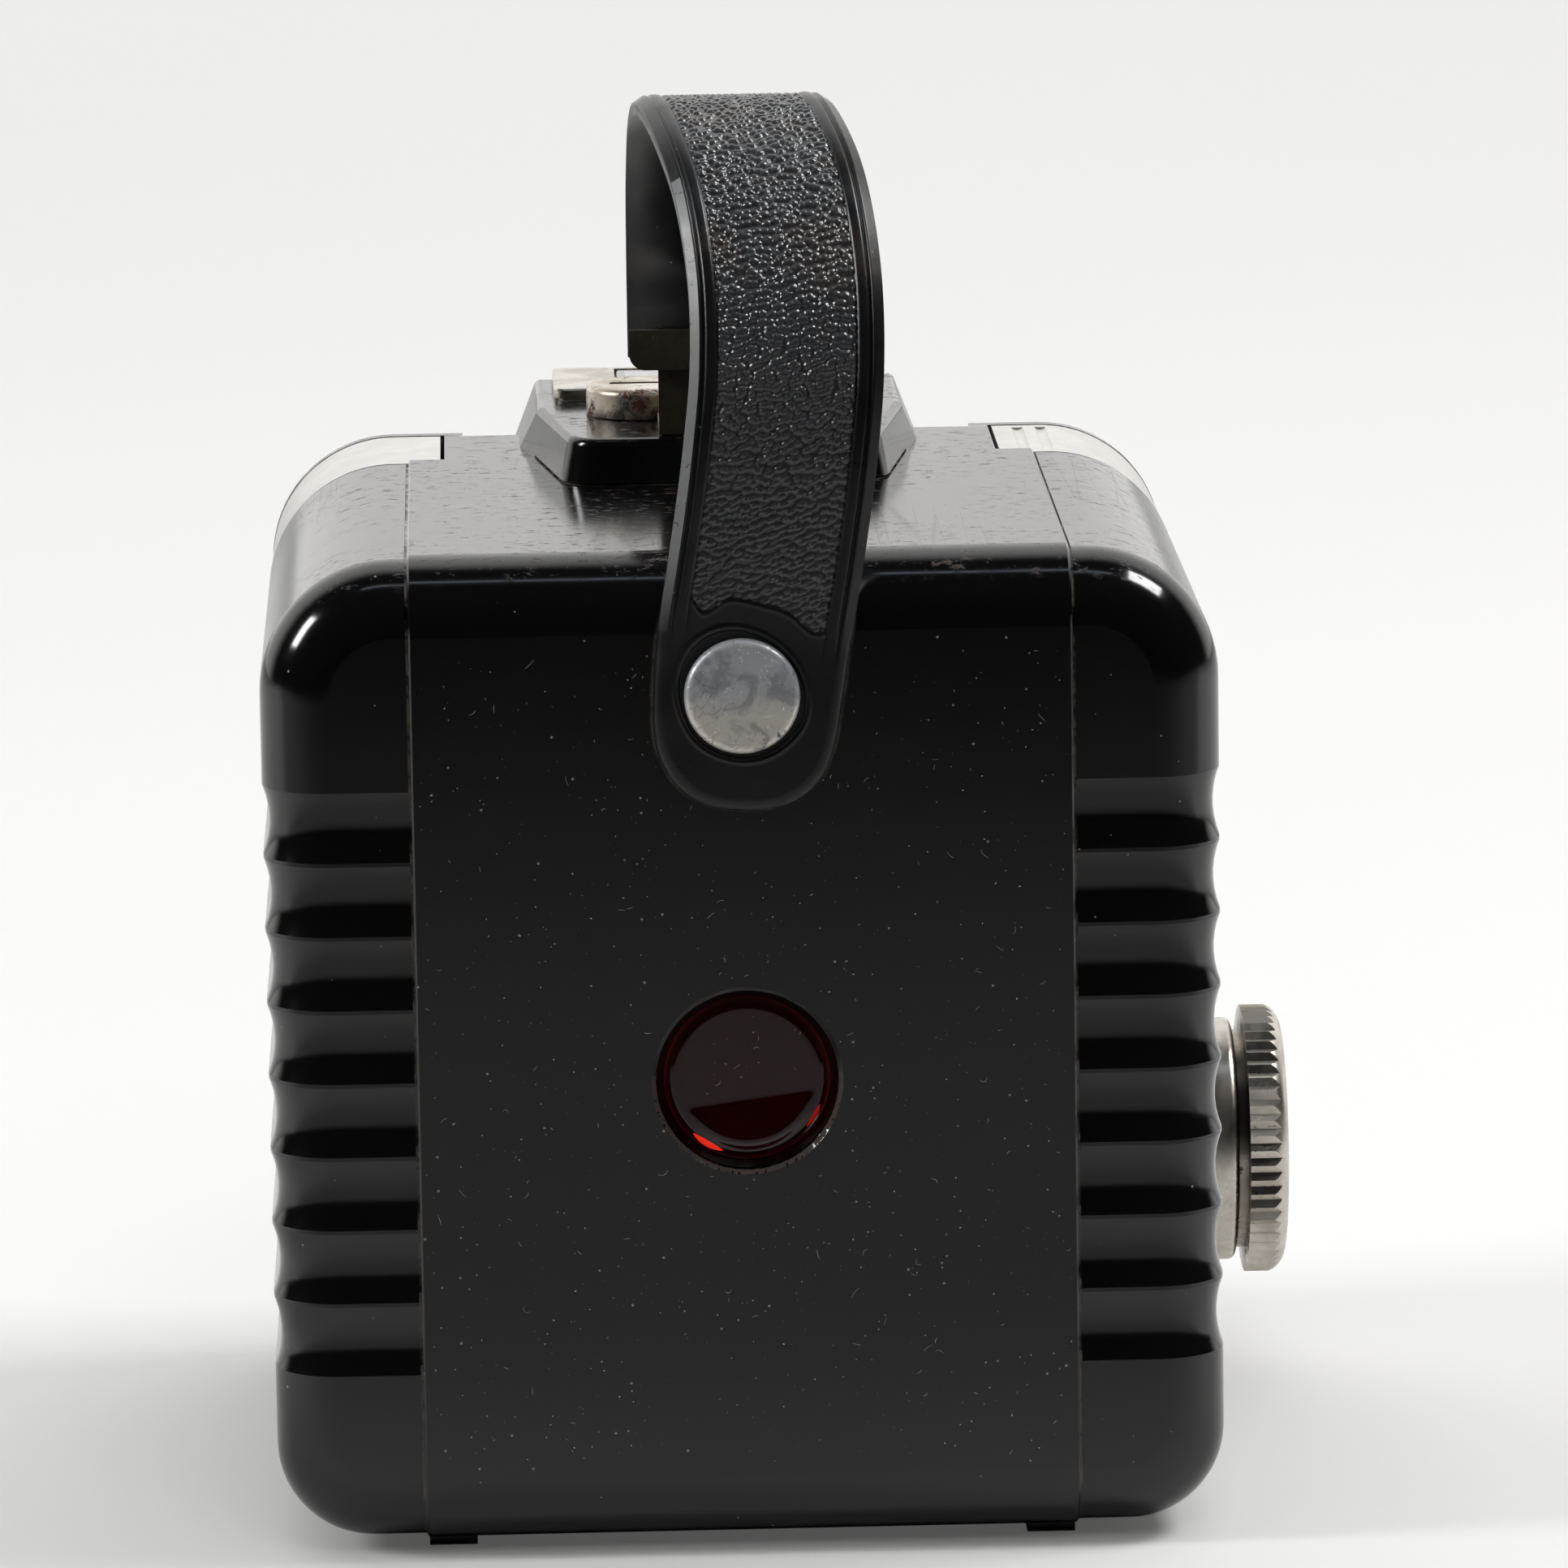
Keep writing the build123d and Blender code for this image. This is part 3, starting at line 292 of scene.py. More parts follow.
def worn_metal(name, bright, dark, stain, rough_low, rough_high, rust=0.0):
    """Plated or bare metal with tarnish clouds, fine grain, stains and rust in the corners."""
    t = Tree(name)
    cloud = t.ramp(t.noise(160, 6, 0.65, warp=0.8), 0.35, 0.7)
    pits = t.ramp(t.noise(900, 5, 0.7), 0.60, 0.70)
    spots = t.math("MULTIPLY", pits, t.ramp(t.noise(220, 3), 0.5, 0.62))
    base = t.mix(cloud, bright, dark)
    base = t.mix(t.math("MULTIPLY", spots, 0.85), base, stain)
    corner = t.math("MULTIPLY", t.crevices(0.0016), 0.8)
    base = t.mix(corner, base, stain)
    metal = t.ramp(spots, 0, 1, 1.0, 0.55)
    if rust:
        eaten = t.ramp(t.noise(420, 6, 0.75, warp=0.4), 0.63 - 0.12 * rust, 0.70 - 0.10 * rust)
        base = t.mix(eaten, base, (0.075, 0.024, 0.012, 1))
        metal = t.math("MULTIPLY", metal, t.ramp(eaten, 0, 1, 1.0, 0.15))
        rusty = t.math("MULTIPLY", eaten, 0.35)
    else:
        rusty = 0.0
    grain = t.noise(1400, 3, 0.5)
    rough = t.math("ADD", t.ramp(cloud, 0, 1, rough_low, rough_high), t.math("MULTIPLY", grain, 0.1))
    rough = t.math("ADD", rough, rusty)
    rough = t.math("ADD", rough, t.math("MULTIPLY", spots, 0.25))
    normal = t.bump(grain, 0.00002, 0.5)
    normal = t.bump(t.math("MULTIPLY", spots, -1.0), 0.00004, 0.7, normal)
    t.set(Base_Color=base, Roughness=rough, Metallic=metal, Normal=normal)
    return t.mat


def rivet_steel():
    """Bright bare steel of the strap rivet, dark pits; painted reflection: cool dull upper half,
    warm lower third.
    """
    t = Tree("rivet_steel")
    wave = t.math("MULTIPLY", t.noise(260, 3), 0.004)
    level = t.math("ADD", t.along(2), wave)
    # painted reflection: warm below the rivet's middle, cool grey above it
    cool = t.ramp(level, RIVET_Z * MM - 0.0005, RIVET_Z * MM + 0.0030)
    base = t.mix(cool, (0.86, 0.81, 0.73, 1), (0.62, 0.64, 0.67, 1))
    cloud = t.ramp(t.noise(330, 5, 0.65, warp=0.7), 0.48, 0.66)
    base = t.mix(t.math("MULTIPLY", cloud, 0.55), base, (0.16, 0.16, 0.17, 1))
    pits = t.ramp(t.noise(2300, 5, 0.75), 0.57, 0.62)
    pits = t.math("MULTIPLY", pits, t.ramp(t.noise(520, 2), 0.46, 0.58))
    worn = scratches(t, 700, (0.3, 0.2, 0.6), 0.05)
    worn = t.math("MULTIPLY", worn, t.ramp(t.noise(300, 2), 0.5, 0.6))
    dark = t.math("MAXIMUM", pits, t.math("MULTIPLY", worn, 0.5))
    base = t.mix(t.math("MULTIPLY", dark, 0.85), base, (0.045, 0.035, 0.030, 1))
    rough = t.math("ADD", t.ramp(cloud, 0, 1, 0.36, 0.50), t.math("MULTIPLY", dark, 0.2))
    normal = t.bump(t.noise(1500, 3), 0.00002, 0.5)
    normal = t.bump(t.math("MULTIPLY", dark, -1.0), 0.00004, 0.8, normal)
    t.set(Base_Color=base, Roughness=rough, Metallic=t.ramp(dark, 0, 1, 0.55, 0.1), Normal=normal)
    return t.mat


def lint():
    """Pale household dust and short fibres."""
    t = Tree("lint")
    base = t.mix(t.noise(700, 3), (0.30, 0.28, 0.25, 1), (0.75, 0.73, 0.70, 1))
    rough = t.ramp(t.noise(900, 2), 0.3, 0.7, 0.8, 0.95)
    t.set(Base_Color=base, Roughness=rough, Normal=t.bump(t.noise(4000, 2), 0.00002, 0.5))
    return t.mat


def red_plastic():
    """Deep red plastic: nearly black on its face, brighter red on its bevelled edge as a painted
    glow.
    """
    t = Tree("red_plastic")
    cloud = t.noise(300, 3)
    base = t.mix(cloud, (0.016, 0.0007, 0.0007, 1), (0.024, 0.0010, 0.0009, 1))
    base = t.mix(t.math("MULTIPLY", specks(t, 900, 0.08, 0.25), 0.5), base, (0.30, 0.24, 0.22, 1))
    # painted glow: brighter red where the surface turns away from facing straight back
    rim = t.ramp(t.facing(1), 0.92, 0.60)
    base = t.mix(rim, base, (0.22, 0.008, 0.006, 1))
    rub = scratches(t, 500, (0.1, 0.5, 0.4), 0.03)
    rub = t.math("MULTIPLY", rub, t.ramp(t.noise(150, 2), 0.52, 0.62))
    rough = t.math("ADD", 0.05, t.math("MULTIPLY", rub, 0.12))
    normal = t.bump(t.noise(90, 2), 0.00003, 0.3)
    t.set(Base_Color=base, Roughness=rough, IOR=1.49, Normal=normal, Transmission_Weight=0.25)
    return t.mat


def lit_red(name, strength):
    """Red plastic with a faint glow, for the two lit spots on the window's edge."""
    t = Tree(name)
    fade = t.noise(260, 3)
    base = t.mix(fade, (0.30, 0.008, 0.004, 1), (0.40, 0.015, 0.008, 1))
    glow = t.mix(fade, (0.70, 0.010, 0.004, 1), (0.95, 0.040, 0.015, 1))
    t.set(Base_Color=base, Roughness=t.ramp(fade, 0.3, 0.7, 0.15, 0.3), IOR=1.49,
          Emission_Color=glow, Emission_Strength=strength, Normal=t.bump(fade, 0.00002, 0.4))
    return t.mat


def clear_glass():
    """Clear optical glass with a trace of dust and smears."""
    t = Tree("clear_glass")
    smear = t.ramp(t.noise(160, 4, 0.6, t.scaled((1, 0.4, 1))), 0.5, 0.75, 0.02, 0.10)
    base = t.mix(specks(t, 900, 0.1, 0.12), (0.93, 0.95, 0.95, 1), (0.45, 0.43, 0.40, 1))
    t.set(Base_Color=base, Roughness=smear, IOR=1.52, Transmission_Weight=0.9,
          Normal=t.bump(t.noise(60, 2), 0.00001, 0.3))
    return t.mat


def silvered():
    """Front-silvered mirror glass with patches of light tarnish."""
    t = Tree("mirror")
    tarnish = t.ramp(t.noise(180, 5, 0.65), 0.55, 0.75)
    base = t.mix(tarnish, (0.86, 0.86, 0.85, 1), (0.52, 0.49, 0.44, 1))
    t.set(Base_Color=base, Roughness=t.ramp(tarnish, 0, 1, 0.02, 0.25), Metallic=1.0,
          Normal=t.bump(t.noise(40, 2), 0.00001, 0.3))
    return t.mat


def matt_black(name, low, high, rough_low, rough_high, metallic=0.0):
    """Matt black paint or moulding with dust and rubbed places."""
    t = Tree(name)
    patch = t.noise(130, 5, 0.6)
    base = t.mix(patch, low, high)
    base = t.mix(t.math("MULTIPLY", specks(t, 500, 0.1, 0.15), 0.5), base, (0.30, 0.28, 0.25, 1))
    rough = t.ramp(t.noise(500, 3), 0.3, 0.7, rough_low, rough_high)
    normal = t.bump(t.noise(1600, 3, 0.6), 0.00004, 0.5)
    t.set(Base_Color=base, Roughness=rough, Metallic=metallic, Normal=normal)
    return t.mat


MATERIALS = {
    "bakelite": bakelite(),
    "grey_plastic": grey_plastic(),
    "vinyl": vinyl(),
    "dull_steel": worn_metal("dull_steel", (0.56, 0.555, 0.54, 1), (0.40, 0.39, 0.375, 1),
                             (0.075, 0.060, 0.045, 1), 0.34, 0.48),
    "plated": worn_metal("plated", (0.66, 0.62, 0.56, 1), (0.50, 0.46, 0.40, 1),
                         (0.10, 0.065, 0.035, 1), 0.22, 0.36),
    "plated_rusty": worn_metal("plated_rusty", (0.72, 0.67, 0.58, 1), (0.52, 0.46, 0.37, 1),
                               (0.10, 0.05, 0.025, 1), 0.20, 0.36, rust=0.9),
    "tinted_metal": worn_metal("tinted_metal", (0.30, 0.275, 0.20, 1), (0.16, 0.14, 0.10, 1),
                               (0.05, 0.035, 0.02, 1), 0.34, 0.50, rust=0.25),
    "brass": worn_metal("brass", (0.62, 0.46, 0.20, 1), (0.45, 0.31, 0.13, 1),
                        (0.09, 0.05, 0.02, 1), 0.22, 0.38),
    "spring_steel": worn_metal("spring_steel", (0.50, 0.50, 0.50, 1), (0.34, 0.335, 0.33, 1),
                               (0.09, 0.06, 0.04, 1), 0.25, 0.40),
    "red_plastic": red_plastic(),
    "lit_red": lit_red("lit_red", 0.75),
    "dim_red": lit_red("dim_red", 0.14),
    "rivet_steel": rivet_steel(),
    "lint": lint(),
    "vinyl_grain": vinyl_grain(),
    "vinyl_edge": vinyl_edge(),
    "edge_grime": edge_grime(),
    "clear_glass": clear_glass(),
    "mirror": silvered(),
    "black_sheet": matt_black("black_sheet", (0.012, 0.012, 0.012, 1), (0.028, 0.027, 0.026, 1),
                              0.45, 0.62),
    "black_moulding": matt_black("black_moulding", (0.008, 0.008, 0.008, 1),
                                 (0.018, 0.017, 0.016, 1), 0.42, 0.60),
    "spool_metal": matt_black("spool_metal", (0.016, 0.016, 0.017, 1), (0.035, 0.034, 0.033, 1),
                              0.32, 0.48, 0.3),
}
LOOK_OF_NODE = {"latch_lever": "plated_rusty", "strap_rivet": "rivet_steel"}


def dress_cad_nodes():
    """Gives every CAD node the material of its slot in the record."""
    for part in frame["record"]["subparts"]:
        node = NODES[part["node"]]
        look = LOOK_OF_NODE.get(part["node"], part["material_slot"])
        node.data.materials.clear()
        node.data.materials.append(MATERIALS[look])


def new_piece(name, vertices, faces, look, smooth=True):
    """A mesh object from plain lists, in metres."""
    mesh = bpy.data.meshes.new(name)
    mesh.from_pydata([tuple(map(float, v)) for v in vertices], [], faces)
    mesh.validate()
    mesh.materials.append(MATERIALS[look])
    mesh.polygons.foreach_set("use_smooth", [smooth] * len(mesh.polygons))
    piece = bpy.data.objects.new(name, mesh)
    bpy.context.scene.collection.objects.link(piece)
    return piece


# ---------------------------------------------------------------- carrying strap
STRAP_HALF, STRAP_T = 8.9, 1.8         # half width and thickness, in mm
STRAP_Y = BACK_FACE + STRAP_T / 2 + 0.05
STRAP_END = Vector((0.3, BODY_Y - 4.8, 106.6))
# the strap's middle line, from the rivet end up and over to the clasp: X, Y, Z in mm
STRAP_LINE = (
    (0.0, STRAP_Y, 71.0), (-0.2, STRAP_Y, 75.5), (-0.4, STRAP_Y, 80.0), (-1.2, STRAP_Y, 87.0),
    (-2.6, STRAP_Y + 0.5, 95.5), (-3.8, STRAP_Y + 0.9, 104.0), (-4.6, STRAP_Y + 0.1, 112.0),
    (-4.6, STRAP_Y - 3.0, 120.2), (-3.6, STRAP_Y - 8.9, 127.6), (-1.9, STRAP_Y - 17.0, 132.2),
    (-0.5, STRAP_Y - 26.4, 133.6), (0.1, STRAP_Y - 35.8, 130.9), (0.3, STRAP_Y - 43.3, 124.6),
    (0.3, STRAP_END.y + 0.6, 117.0), (0.3, STRAP_END.y, 111.4), tuple(STRAP_END),
)
STRAP_ROUND_Z = 79.95      # where the rounded lower end begins
END_RADIUS, END_POWER = 8.9, 2.45
END_NARROWING = 0.5        # how much slimmer the strap is at its rivet end
STRAP_ROWS, STRAP_COLUMNS = 1500, 200
REFLECTION_BAND_END = 62.0          # how far along the strap its left rim carries the grey painted reflection
PANEL_START = 19.6         # where the pebbled panel begins, along the strap
# how far in from the rim: bevel's inner edge, groove, bead, line before the panel, panel
BEVEL, GROOVE, BEAD, BORDER_LINE, PANEL_EDGE = 0.95, 1.22, 1.85, 2.50, 2.45
PEBBLE, PEBBLE_HEIGHT = 0.70, 0.27
SHEAR, SHEAR_END, SHEAR_BLEND = 0.75, 36.0, 6.0    # slant of the pebble rows at the lower end
SEAT_R, SEAT_DEPTH = 5.95, 0.36        # where the rivet's head sinks into the leathercloth


def smooth_line(points, count):
    """Evenly spaced points on a Catmull-Rom curve through the given points."""
    p = np.array(points, float)
    p = np.vstack([2 * p[0] - p[1], p, 2 * p[-1] - p[-2]])
    out = []
    for k in range(1, len(p) - 2):
        s = np.linspace(0, 1, 60, endpoint=False)[:, None]
        a, b, c, d = p[k - 1], p[k], p[k + 1], p[k + 2]
        out.append(0.5 * (2 * b + (c - a) * s + (2 * a - 5 * b + 4 * c - d) * s ** 2
                          + (3 * b - a - 3 * c + d) * s ** 3))
    out.append(p[-2][None])
    line = np.vstack(out)
    gone = np.r_[0, np.cumsum(np.linalg.norm(np.diff(line, axis=0), axis=1))]
    even = np.linspace(0, gone[-1], count)
    return np.stack([np.interp(even, gone, line[:, k]) for k in range(3)], 1), even


def pebbles(x, y, size):
    """Domed pebbles on a jittered grid: 1 on a pebble's crown, 0 in the groove between two."""
    u, v = x / size, y / size
    iu, iv = np.floor(u).astype(int), np.floor(v).astype(int)
    nearest = np.full(x.shape, 9.0)
    for du in (-1, 0, 1):
        for dv in (-1, 0, 1):
            gu, gv = iu + du, iv + dv
            seed = np.sin(gu * 127.1 + gv * 311.7) * 43758.5453
            other = np.sin(gu * 269.5 + gv * 183.3) * 43758.5453
            px = gu + 0.5 + 0.8 * (seed - np.floor(seed) - 0.5)
            py = gv + 0.5 + 0.8 * (other - np.floor(other) - 0.5)
            away = np.hypot(px - u, py - v)
            nearest = np.minimum(nearest, away)
    return np.clip(1 - (nearest / 0.66) ** 2, 0, 1)


def step(x, low, high):
    """Smooth step from 0 to 1."""
    s = np.clip((x - low) / (high - low), 0, 1)
    return s * s * (3 - 2 * s)


def bump_at(value, centre, width):
    """Soft ridge, 1 where value is at the centre."""
    return np.exp(-((value - centre) / width) ** 2)


def strap_directions(line):
    """Unit vectors across the strap and outward from it, for each point of its line."""
    tangent = np.gradient(line, axis=0)
    tangent /= np.linalg.norm(tangent, axis=1)[:, None]
    side = np.tile([1.0, 0, 0], (len(line), 1))
    side -= tangent * np.sum(side * tangent, 1)[:, None]
    side /= np.linalg.norm(side, axis=1)[:, None]
    outward = np.cross(side, tangent)
    outward *= np.sign(outward[0, 1])
    return side, outward


def strap_outline(line, gone):
    """Offsets across the strap, and how far each lies inside the strap's outline."""
    below = np.clip(STRAP_ROUND_Z - line[:, 2], 0, None) * (gone < 20)
    wide = STRAP_HALF - END_NARROWING * (1 - step(line[:, 2], 74.0, 86.0)) * (gone < 25)
    round_off = np.clip(1 - (below / END_RADIUS) ** END_POWER, 0.0004, None) ** (1 / END_POWER)
    half = wide * round_off
    s = np.linspace(-1, 1, STRAP_COLUMNS)
    s = np.sign(s) * (1 - (1 - np.abs(s)) ** 1.12)
    x = s[None, :] * half[:, None]
    outline = ((np.abs(x) / wide[:, None]) ** END_POWER
               + (below[:, None] / END_RADIUS) ** END_POWER) ** (1 / END_POWER)
    edge = np.where(below[:, None] > 0, (1 - outline) * END_RADIUS, half[:, None] - np.abs(x))
    return x, np.clip(edge, 0, None)


def strap_panel(x, along, edge):
    """1 inside the pebbled panel, and the height of the raised line at its curved end."""
    tail = along - PANEL_START - 0.10 * x
    tail += 2.0 * bump_at(x, 5.0, 1.5) + 1.5 * bump_at(x, -5.4, 1.9)
    inside = step(edge, PANEL_EDGE, PANEL_EDGE + 0.3) * step(tail, 0.0, 0.4)
    ridge = bump_at(tail, -0.15, 0.20) * step(edge, 2.3, 2.6)
    return inside, 0.06 * ridge * (1 - inside)


def strap_relief(x, along, edge, inside, ridge, seat):
    """Height over the middle plane: bevel, groove, smooth bead, pebbled panel, rivet seat."""
    sharp = step(along, 14.0, 20.0)
    steep = 0.22 + 0.64 * np.clip(edge / BEVEL, 0, 1)
    soft = -0.10 + 0.96 * np.sqrt(1 - (1 - np.clip(edge / 1.3, 0, 1)) ** 2)
    relief = sharp * steep + (1 - sharp) * soft
    relief -= sharp * 0.26 * bump_at(edge, GROOVE, 0.17)
    relief += sharp * 0.05 * bump_at(edge, BEAD, 0.35)
    relief -= sharp * 0.17 * bump_at(edge, BORDER_LINE, 0.14)
    shear = SHEAR * SHEAR_BLEND * np.log1p(np.exp((SHEAR_END - along) / SHEAR_BLEND))
    wander = 0.12 * np.sin(along * 0.9) + 0.1 * np.sin(x * 1.3 + along * 0.35)
    grain = pebbles(x - shear + wander, along + 0.12 * np.sin(x * 1.7), PEBBLE)
    relief += inside * PEBBLE_HEIGHT * (grain - 1) + ridge
    flat = along < 25
    sunk = relief - SEAT_DEPTH * step(SEAT_R - seat, 0, 0.2)
    relief = np.where(flat & (seat < SEAT_R), sunk, relief)
    return relief + np.where(flat, 0.12 * bump_at(seat, SEAT_R + 0.3, 0.18), 0)


def strap_faces(rows, columns):
    """Faces of the outer skin, the plain underside, both long rims and both ends."""
    faces = []
    for r in range(rows - 1):
        a = r * columns
        for c in range(columns - 1):
            faces.append((a + c, a + c + 1, a + columns + c + 1, a + columns + c))
    first = rows * columns
    last = columns - 1
    for r in range(rows - 1):
        a, b = r * columns, (r + 1) * columns
        p, q = first + 2 * r, first + 2 * r + 2
        faces.append((p + 1, p, q, q + 1))
        faces.append((a, b, q, p))
        faces.append((b + last, a + last, p + 1, q + 1))
    top_row = (rows - 1) * columns
    tip = first + 2 * rows
    faces.append(tuple(range(last, -1, -1)) + (first, first + 1))
    faces.append(tuple(range(top_row, top_row + columns)) + (tip - 1, tip - 2))
    return faces


def carrying_strap():
    """One piece of leathercloth: chamfered edges, smooth border, pebbled panel, rounded end."""
    line, gone = smooth_line(STRAP_LINE, STRAP_ROWS)
    line[:, 0] += BODY_X
    side, outward = strap_directions(line)
    x, edge = strap_outline(line, gone)
    along = gone[:, None] * np.ones_like(x)
    inside, ridge = strap_panel(x, along, edge)
    seat = np.hypot(x + line[:, 0:1] - BODY_X, line[:, 2:3] - RIVET_Z)
    relief = strap_relief(x, along, edge, inside, ridge, seat)
    top = line[:, None] + side[:, None] * x[..., None] + outward[:, None] * relief[..., None]
    rims = x[:, [0, -1]]
    base = line[:, None] + side[:, None] * rims[..., None] - outward[:, None] * STRAP_T / 2
    vertices = np.vstack([top.reshape(-1, 3), base.reshape(-1, 3)]) * MM
    piece = new_piece("strap_leathercloth", vertices, strap_faces(*x.shape), "vinyl")
    piece.data.materials.append(MATERIALS["vinyl_grain"])
    piece.data.materials.append(MATERIALS["vinyl_edge"])
    # faces of the left bevel that get vinyl_edge, whose grey band is a painted reflection
    reflection_band = (edge < 0.90) & (x > 0) & (along > 16) & (along < REFLECTION_BAND_END)
    looks = np.where(reflection_band, 2, (inside > 0.5).astype(int))[:-1, :-1].ravel()
    slots = np.zeros(len(piece.data.polygons), int)
    slots[:looks.size] = looks
    piece.data.polygons.foreach_set("material_index", slots)
    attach(piece, "back")
    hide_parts("carrying_strap")


# ---------------------------------------------------------------- dust and window
WINDOW_X, WINDOW_Z = (sum(v[k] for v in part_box("red_window")) / 2 / MM for k in (0, 2))
WINDOW_LOW, WINDOW_HIGH = (v.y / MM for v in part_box("red_window"))
WINDOW_R = (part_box("red_window")[1].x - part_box("red_window")[0].x) / 2 / MM
HOLE_R, MOUTH_R = 8.5, 8.9             # the hole in the back, and its chamfered mouth
DISC_R, BEVEL_OUT, BEVEL_IN = 7.75, 7.55, 6.92    # radii of the pane's raised disc
BEVEL_DROP = 0.28                      # depth of its bevel
GLINT_R = 7.22
LIFT = 0.015                           # dust lies this far off the surface


def round_window(radius, angle, depth):
    """Point at a radius and angle round the window's axis."""
    return WINDOW_X + radius * math.cos(angle), depth, WINDOW_Z + radius * math.sin(angle)


def flake(place, across, up, radius, turn):
    """Six-sided speck lying on a surface."""
    angles = turn + np.arange(6) * math.pi / 3
    stretch = 1.0 + 0.35 * np.cos(2 * (angles - turn))
    rays = np.cos(angles)[:, None] * across + np.sin(angles)[:, None] * up
    return place + rays * (radius * stretch)[:, None]


def fibre(place, across, up, length, width, turn, bend):
    """Narrow bent ribbon lying on a surface: both long edges, point by point."""
    s = np.linspace(-0.5, 0.5, 9)
    heading = turn + bend * s
    steps = (np.cos(heading)[:, None] * across + np.sin(heading)[:, None] * up) * (length / 8)
    middle = place + np.cumsum(steps, axis=0)
    normal = -np.sin(heading)[:, None] * across + np.cos(heading)[:, None] * up
    half = width / 2 * (1 - 0.7 * np.abs(2 * s)[:, None] ** 2)
    return middle - normal * half, middle + normal * half


def off_window(place):
    """False for a place over the window hole."""
    return math.hypot(place[0] - WINDOW_X, place[2] - WINDOW_Z) > MOUTH_R + 0.4


def dust(name, corner, across, up, specks_count, fibres_count, seed, allowed=None):
    """Specks and fibres spread over a flat rectangle given by a corner and two edges, in mm."""
    rng = np.random.default_rng(seed)
    across, up, corner = (np.array(v, float) for v in (across, up, corner))
    wide, tall = np.linalg.norm(across), np.linalg.norm(up)
    across, up = across / wide, up / tall
    vertices, faces = [], []
    for _ in range(specks_count):
        place = corner + across * wide * rng.random() + up * tall * rng.random()
        if allowed and not allowed(place):
            continue
        ring = flake(place, across, up, 0.022 + 0.060 * rng.random() ** 3, rng.random() * 3)
        faces.append(tuple(range(len(vertices), len(vertices) + 6)))
        vertices += ring.tolist()
    for _ in range(fibres_count):
        place = corner + across * wide * rng.random() + up * tall * rng.random()
        if allowed and not allowed(place):
            continue
        long = 0.25 + 1.0 * rng.random() ** 2
        low, high = fibre(place, across, up, long, 0.018 + 0.018 * rng.random(),
                          rng.random() * 6.3, rng.normal() * 1.6)
        first = len(vertices)
        for a, b in zip(low, high):
            vertices += [a.tolist(), b.tolist()]
        for k in range(len(low) - 1):
            i = first + 2 * k
            faces.append((i, i + 2, i + 3, i + 1))
    piece = new_piece(name, np.array(vertices) * MM, faces, "lint", smooth=False)
    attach(piece, "back")


def lathed(profile, count, warp):
    """Rings of points turned round the window's axis; warp moves a point along the axis."""
    vertices, faces = [], []
    for radius, depth in profile:
        for k in range(count):
            angle = 2 * math.pi * k / count
            x, z = radius * math.cos(angle), radius * math.sin(angle)
            vertices.append(round_window(radius, angle, depth + warp(x, z)))
    for r in range(len(profile) - 1):
        for k in range(count):
            a, b = r * count + k, r * count + (k + 1) % count
            faces.append((a, b, b + count, a + count))
    faces.append(tuple(range((len(profile) - 1) * count, len(profile) * count)))
    faces.append(tuple(range(count - 1, -1, -1)))
    return vertices, faces


def window_pane():
    """Red window: flange, raised disc with a bevelled edge and a face that bulges slightly below."""
    face = WINDOW_HIGH
    profile = [(WINDOW_R, WINDOW_LOW), (WINDOW_R, face - 0.55), (DISC_R, face - 0.55)]
    profile += [(7.68, face - 0.44), (BEVEL_OUT, face - 0.30), (BEVEL_IN, face - 0.02)]
    profile += [(6.85 - 0.34 * k, face) for k in range(20)]

    def bulge(x, z):
        inner = 1 - float(step(math.hypot(x, z), 6.0, 6.8))
        below = -2.1 - 0.13 * x - z
        return 0.065 * inner * (below + math.sqrt(below * below + 0.02))

    vertices, faces = lathed(profile, 144, bulge)
    piece = new_piece("window_pane", np.array(vertices) * MM, faces, "red_plastic")
    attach(piece, "back")
    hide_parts("red_window")


def window_glint(name, middle, spread, width, look):
    """Short arc on the pane's bevel with a faint red glow of its own."""
    vertices, faces = [], []
    count = 24
    for k in range(count + 1):
        share = k / count
        angle = math.radians(middle + spread * (share - 0.5))
        reach = width * math.sin(math.pi * share) ** 0.7 / 2
        for radius in (GLINT_R - reach, GLINT_R + reach):
            down = BEVEL_DROP * (radius - BEVEL_IN) / (BEVEL_OUT - BEVEL_IN)
            vertices.append(round_window(radius, angle, WINDOW_HIGH + 0.01 - down))
    for k in range(count):
        faces.append((2 * k, 2 * k + 1, 2 * k + 3, 2 * k + 2))
    piece = new_piece(name, np.array(vertices) * MM, faces, look)
    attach(piece, "back")


def window_dirt():
    """Ragged line of dirt packed on the lower mouth of the window hole."""
    rng = np.random.default_rng(11)
    vertices, faces = [], []
    count = 150
    for k in range(count + 1):
        angle = math.radians(176 + 188 * k / count)
        fade = math.sin(math.pi * k / count) ** 0.3
        inner = HOLE_R - 0.04 + 0.05 * rng.random()
        outer = MOUTH_R + (0.10 * rng.random() - 0.06) * fade
        for radius in (inner, outer):
            depth = BACK_FACE + 0.02 - max(0.0, MOUTH_R - radius)
            vertices.append(round_window(radius, angle, depth))
    for k in range(count):
        faces.append((2 * k, 2 * k + 1, 2 * k + 3, 2 * k + 2))
    piece = new_piece("window_dirt", np.array(vertices) * MM, faces, "edge_grime", smooth=False)
    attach(piece, "back")


# ---------------------------------------------------------------- studio
FLOOR_LIFT_FAR, FLOOR_LIFT_NEAR = 0.46, 0.07
# brightness of the backdrop as seen, and of the far and near surroundings as reflected
BACKDROP, SKY, DARK_ROOM = 0.86, 1.12, 0.012
PALE_BLUE = (0.75, 0.87, 1.0)
LAMP_TARGET, FILL_TARGET = Vector((0, 0, 0.05)), Vector((0, -0.5, 0))
# the camera's place from the body's middle, in metres, and its turn in degrees
VIEW_PLACE, VIEW_TURN = (0.02419, 0.98916, 0.24721), (79.582, 0.845, 178.149)
SENSOR, LENS = 36.0, 239.2
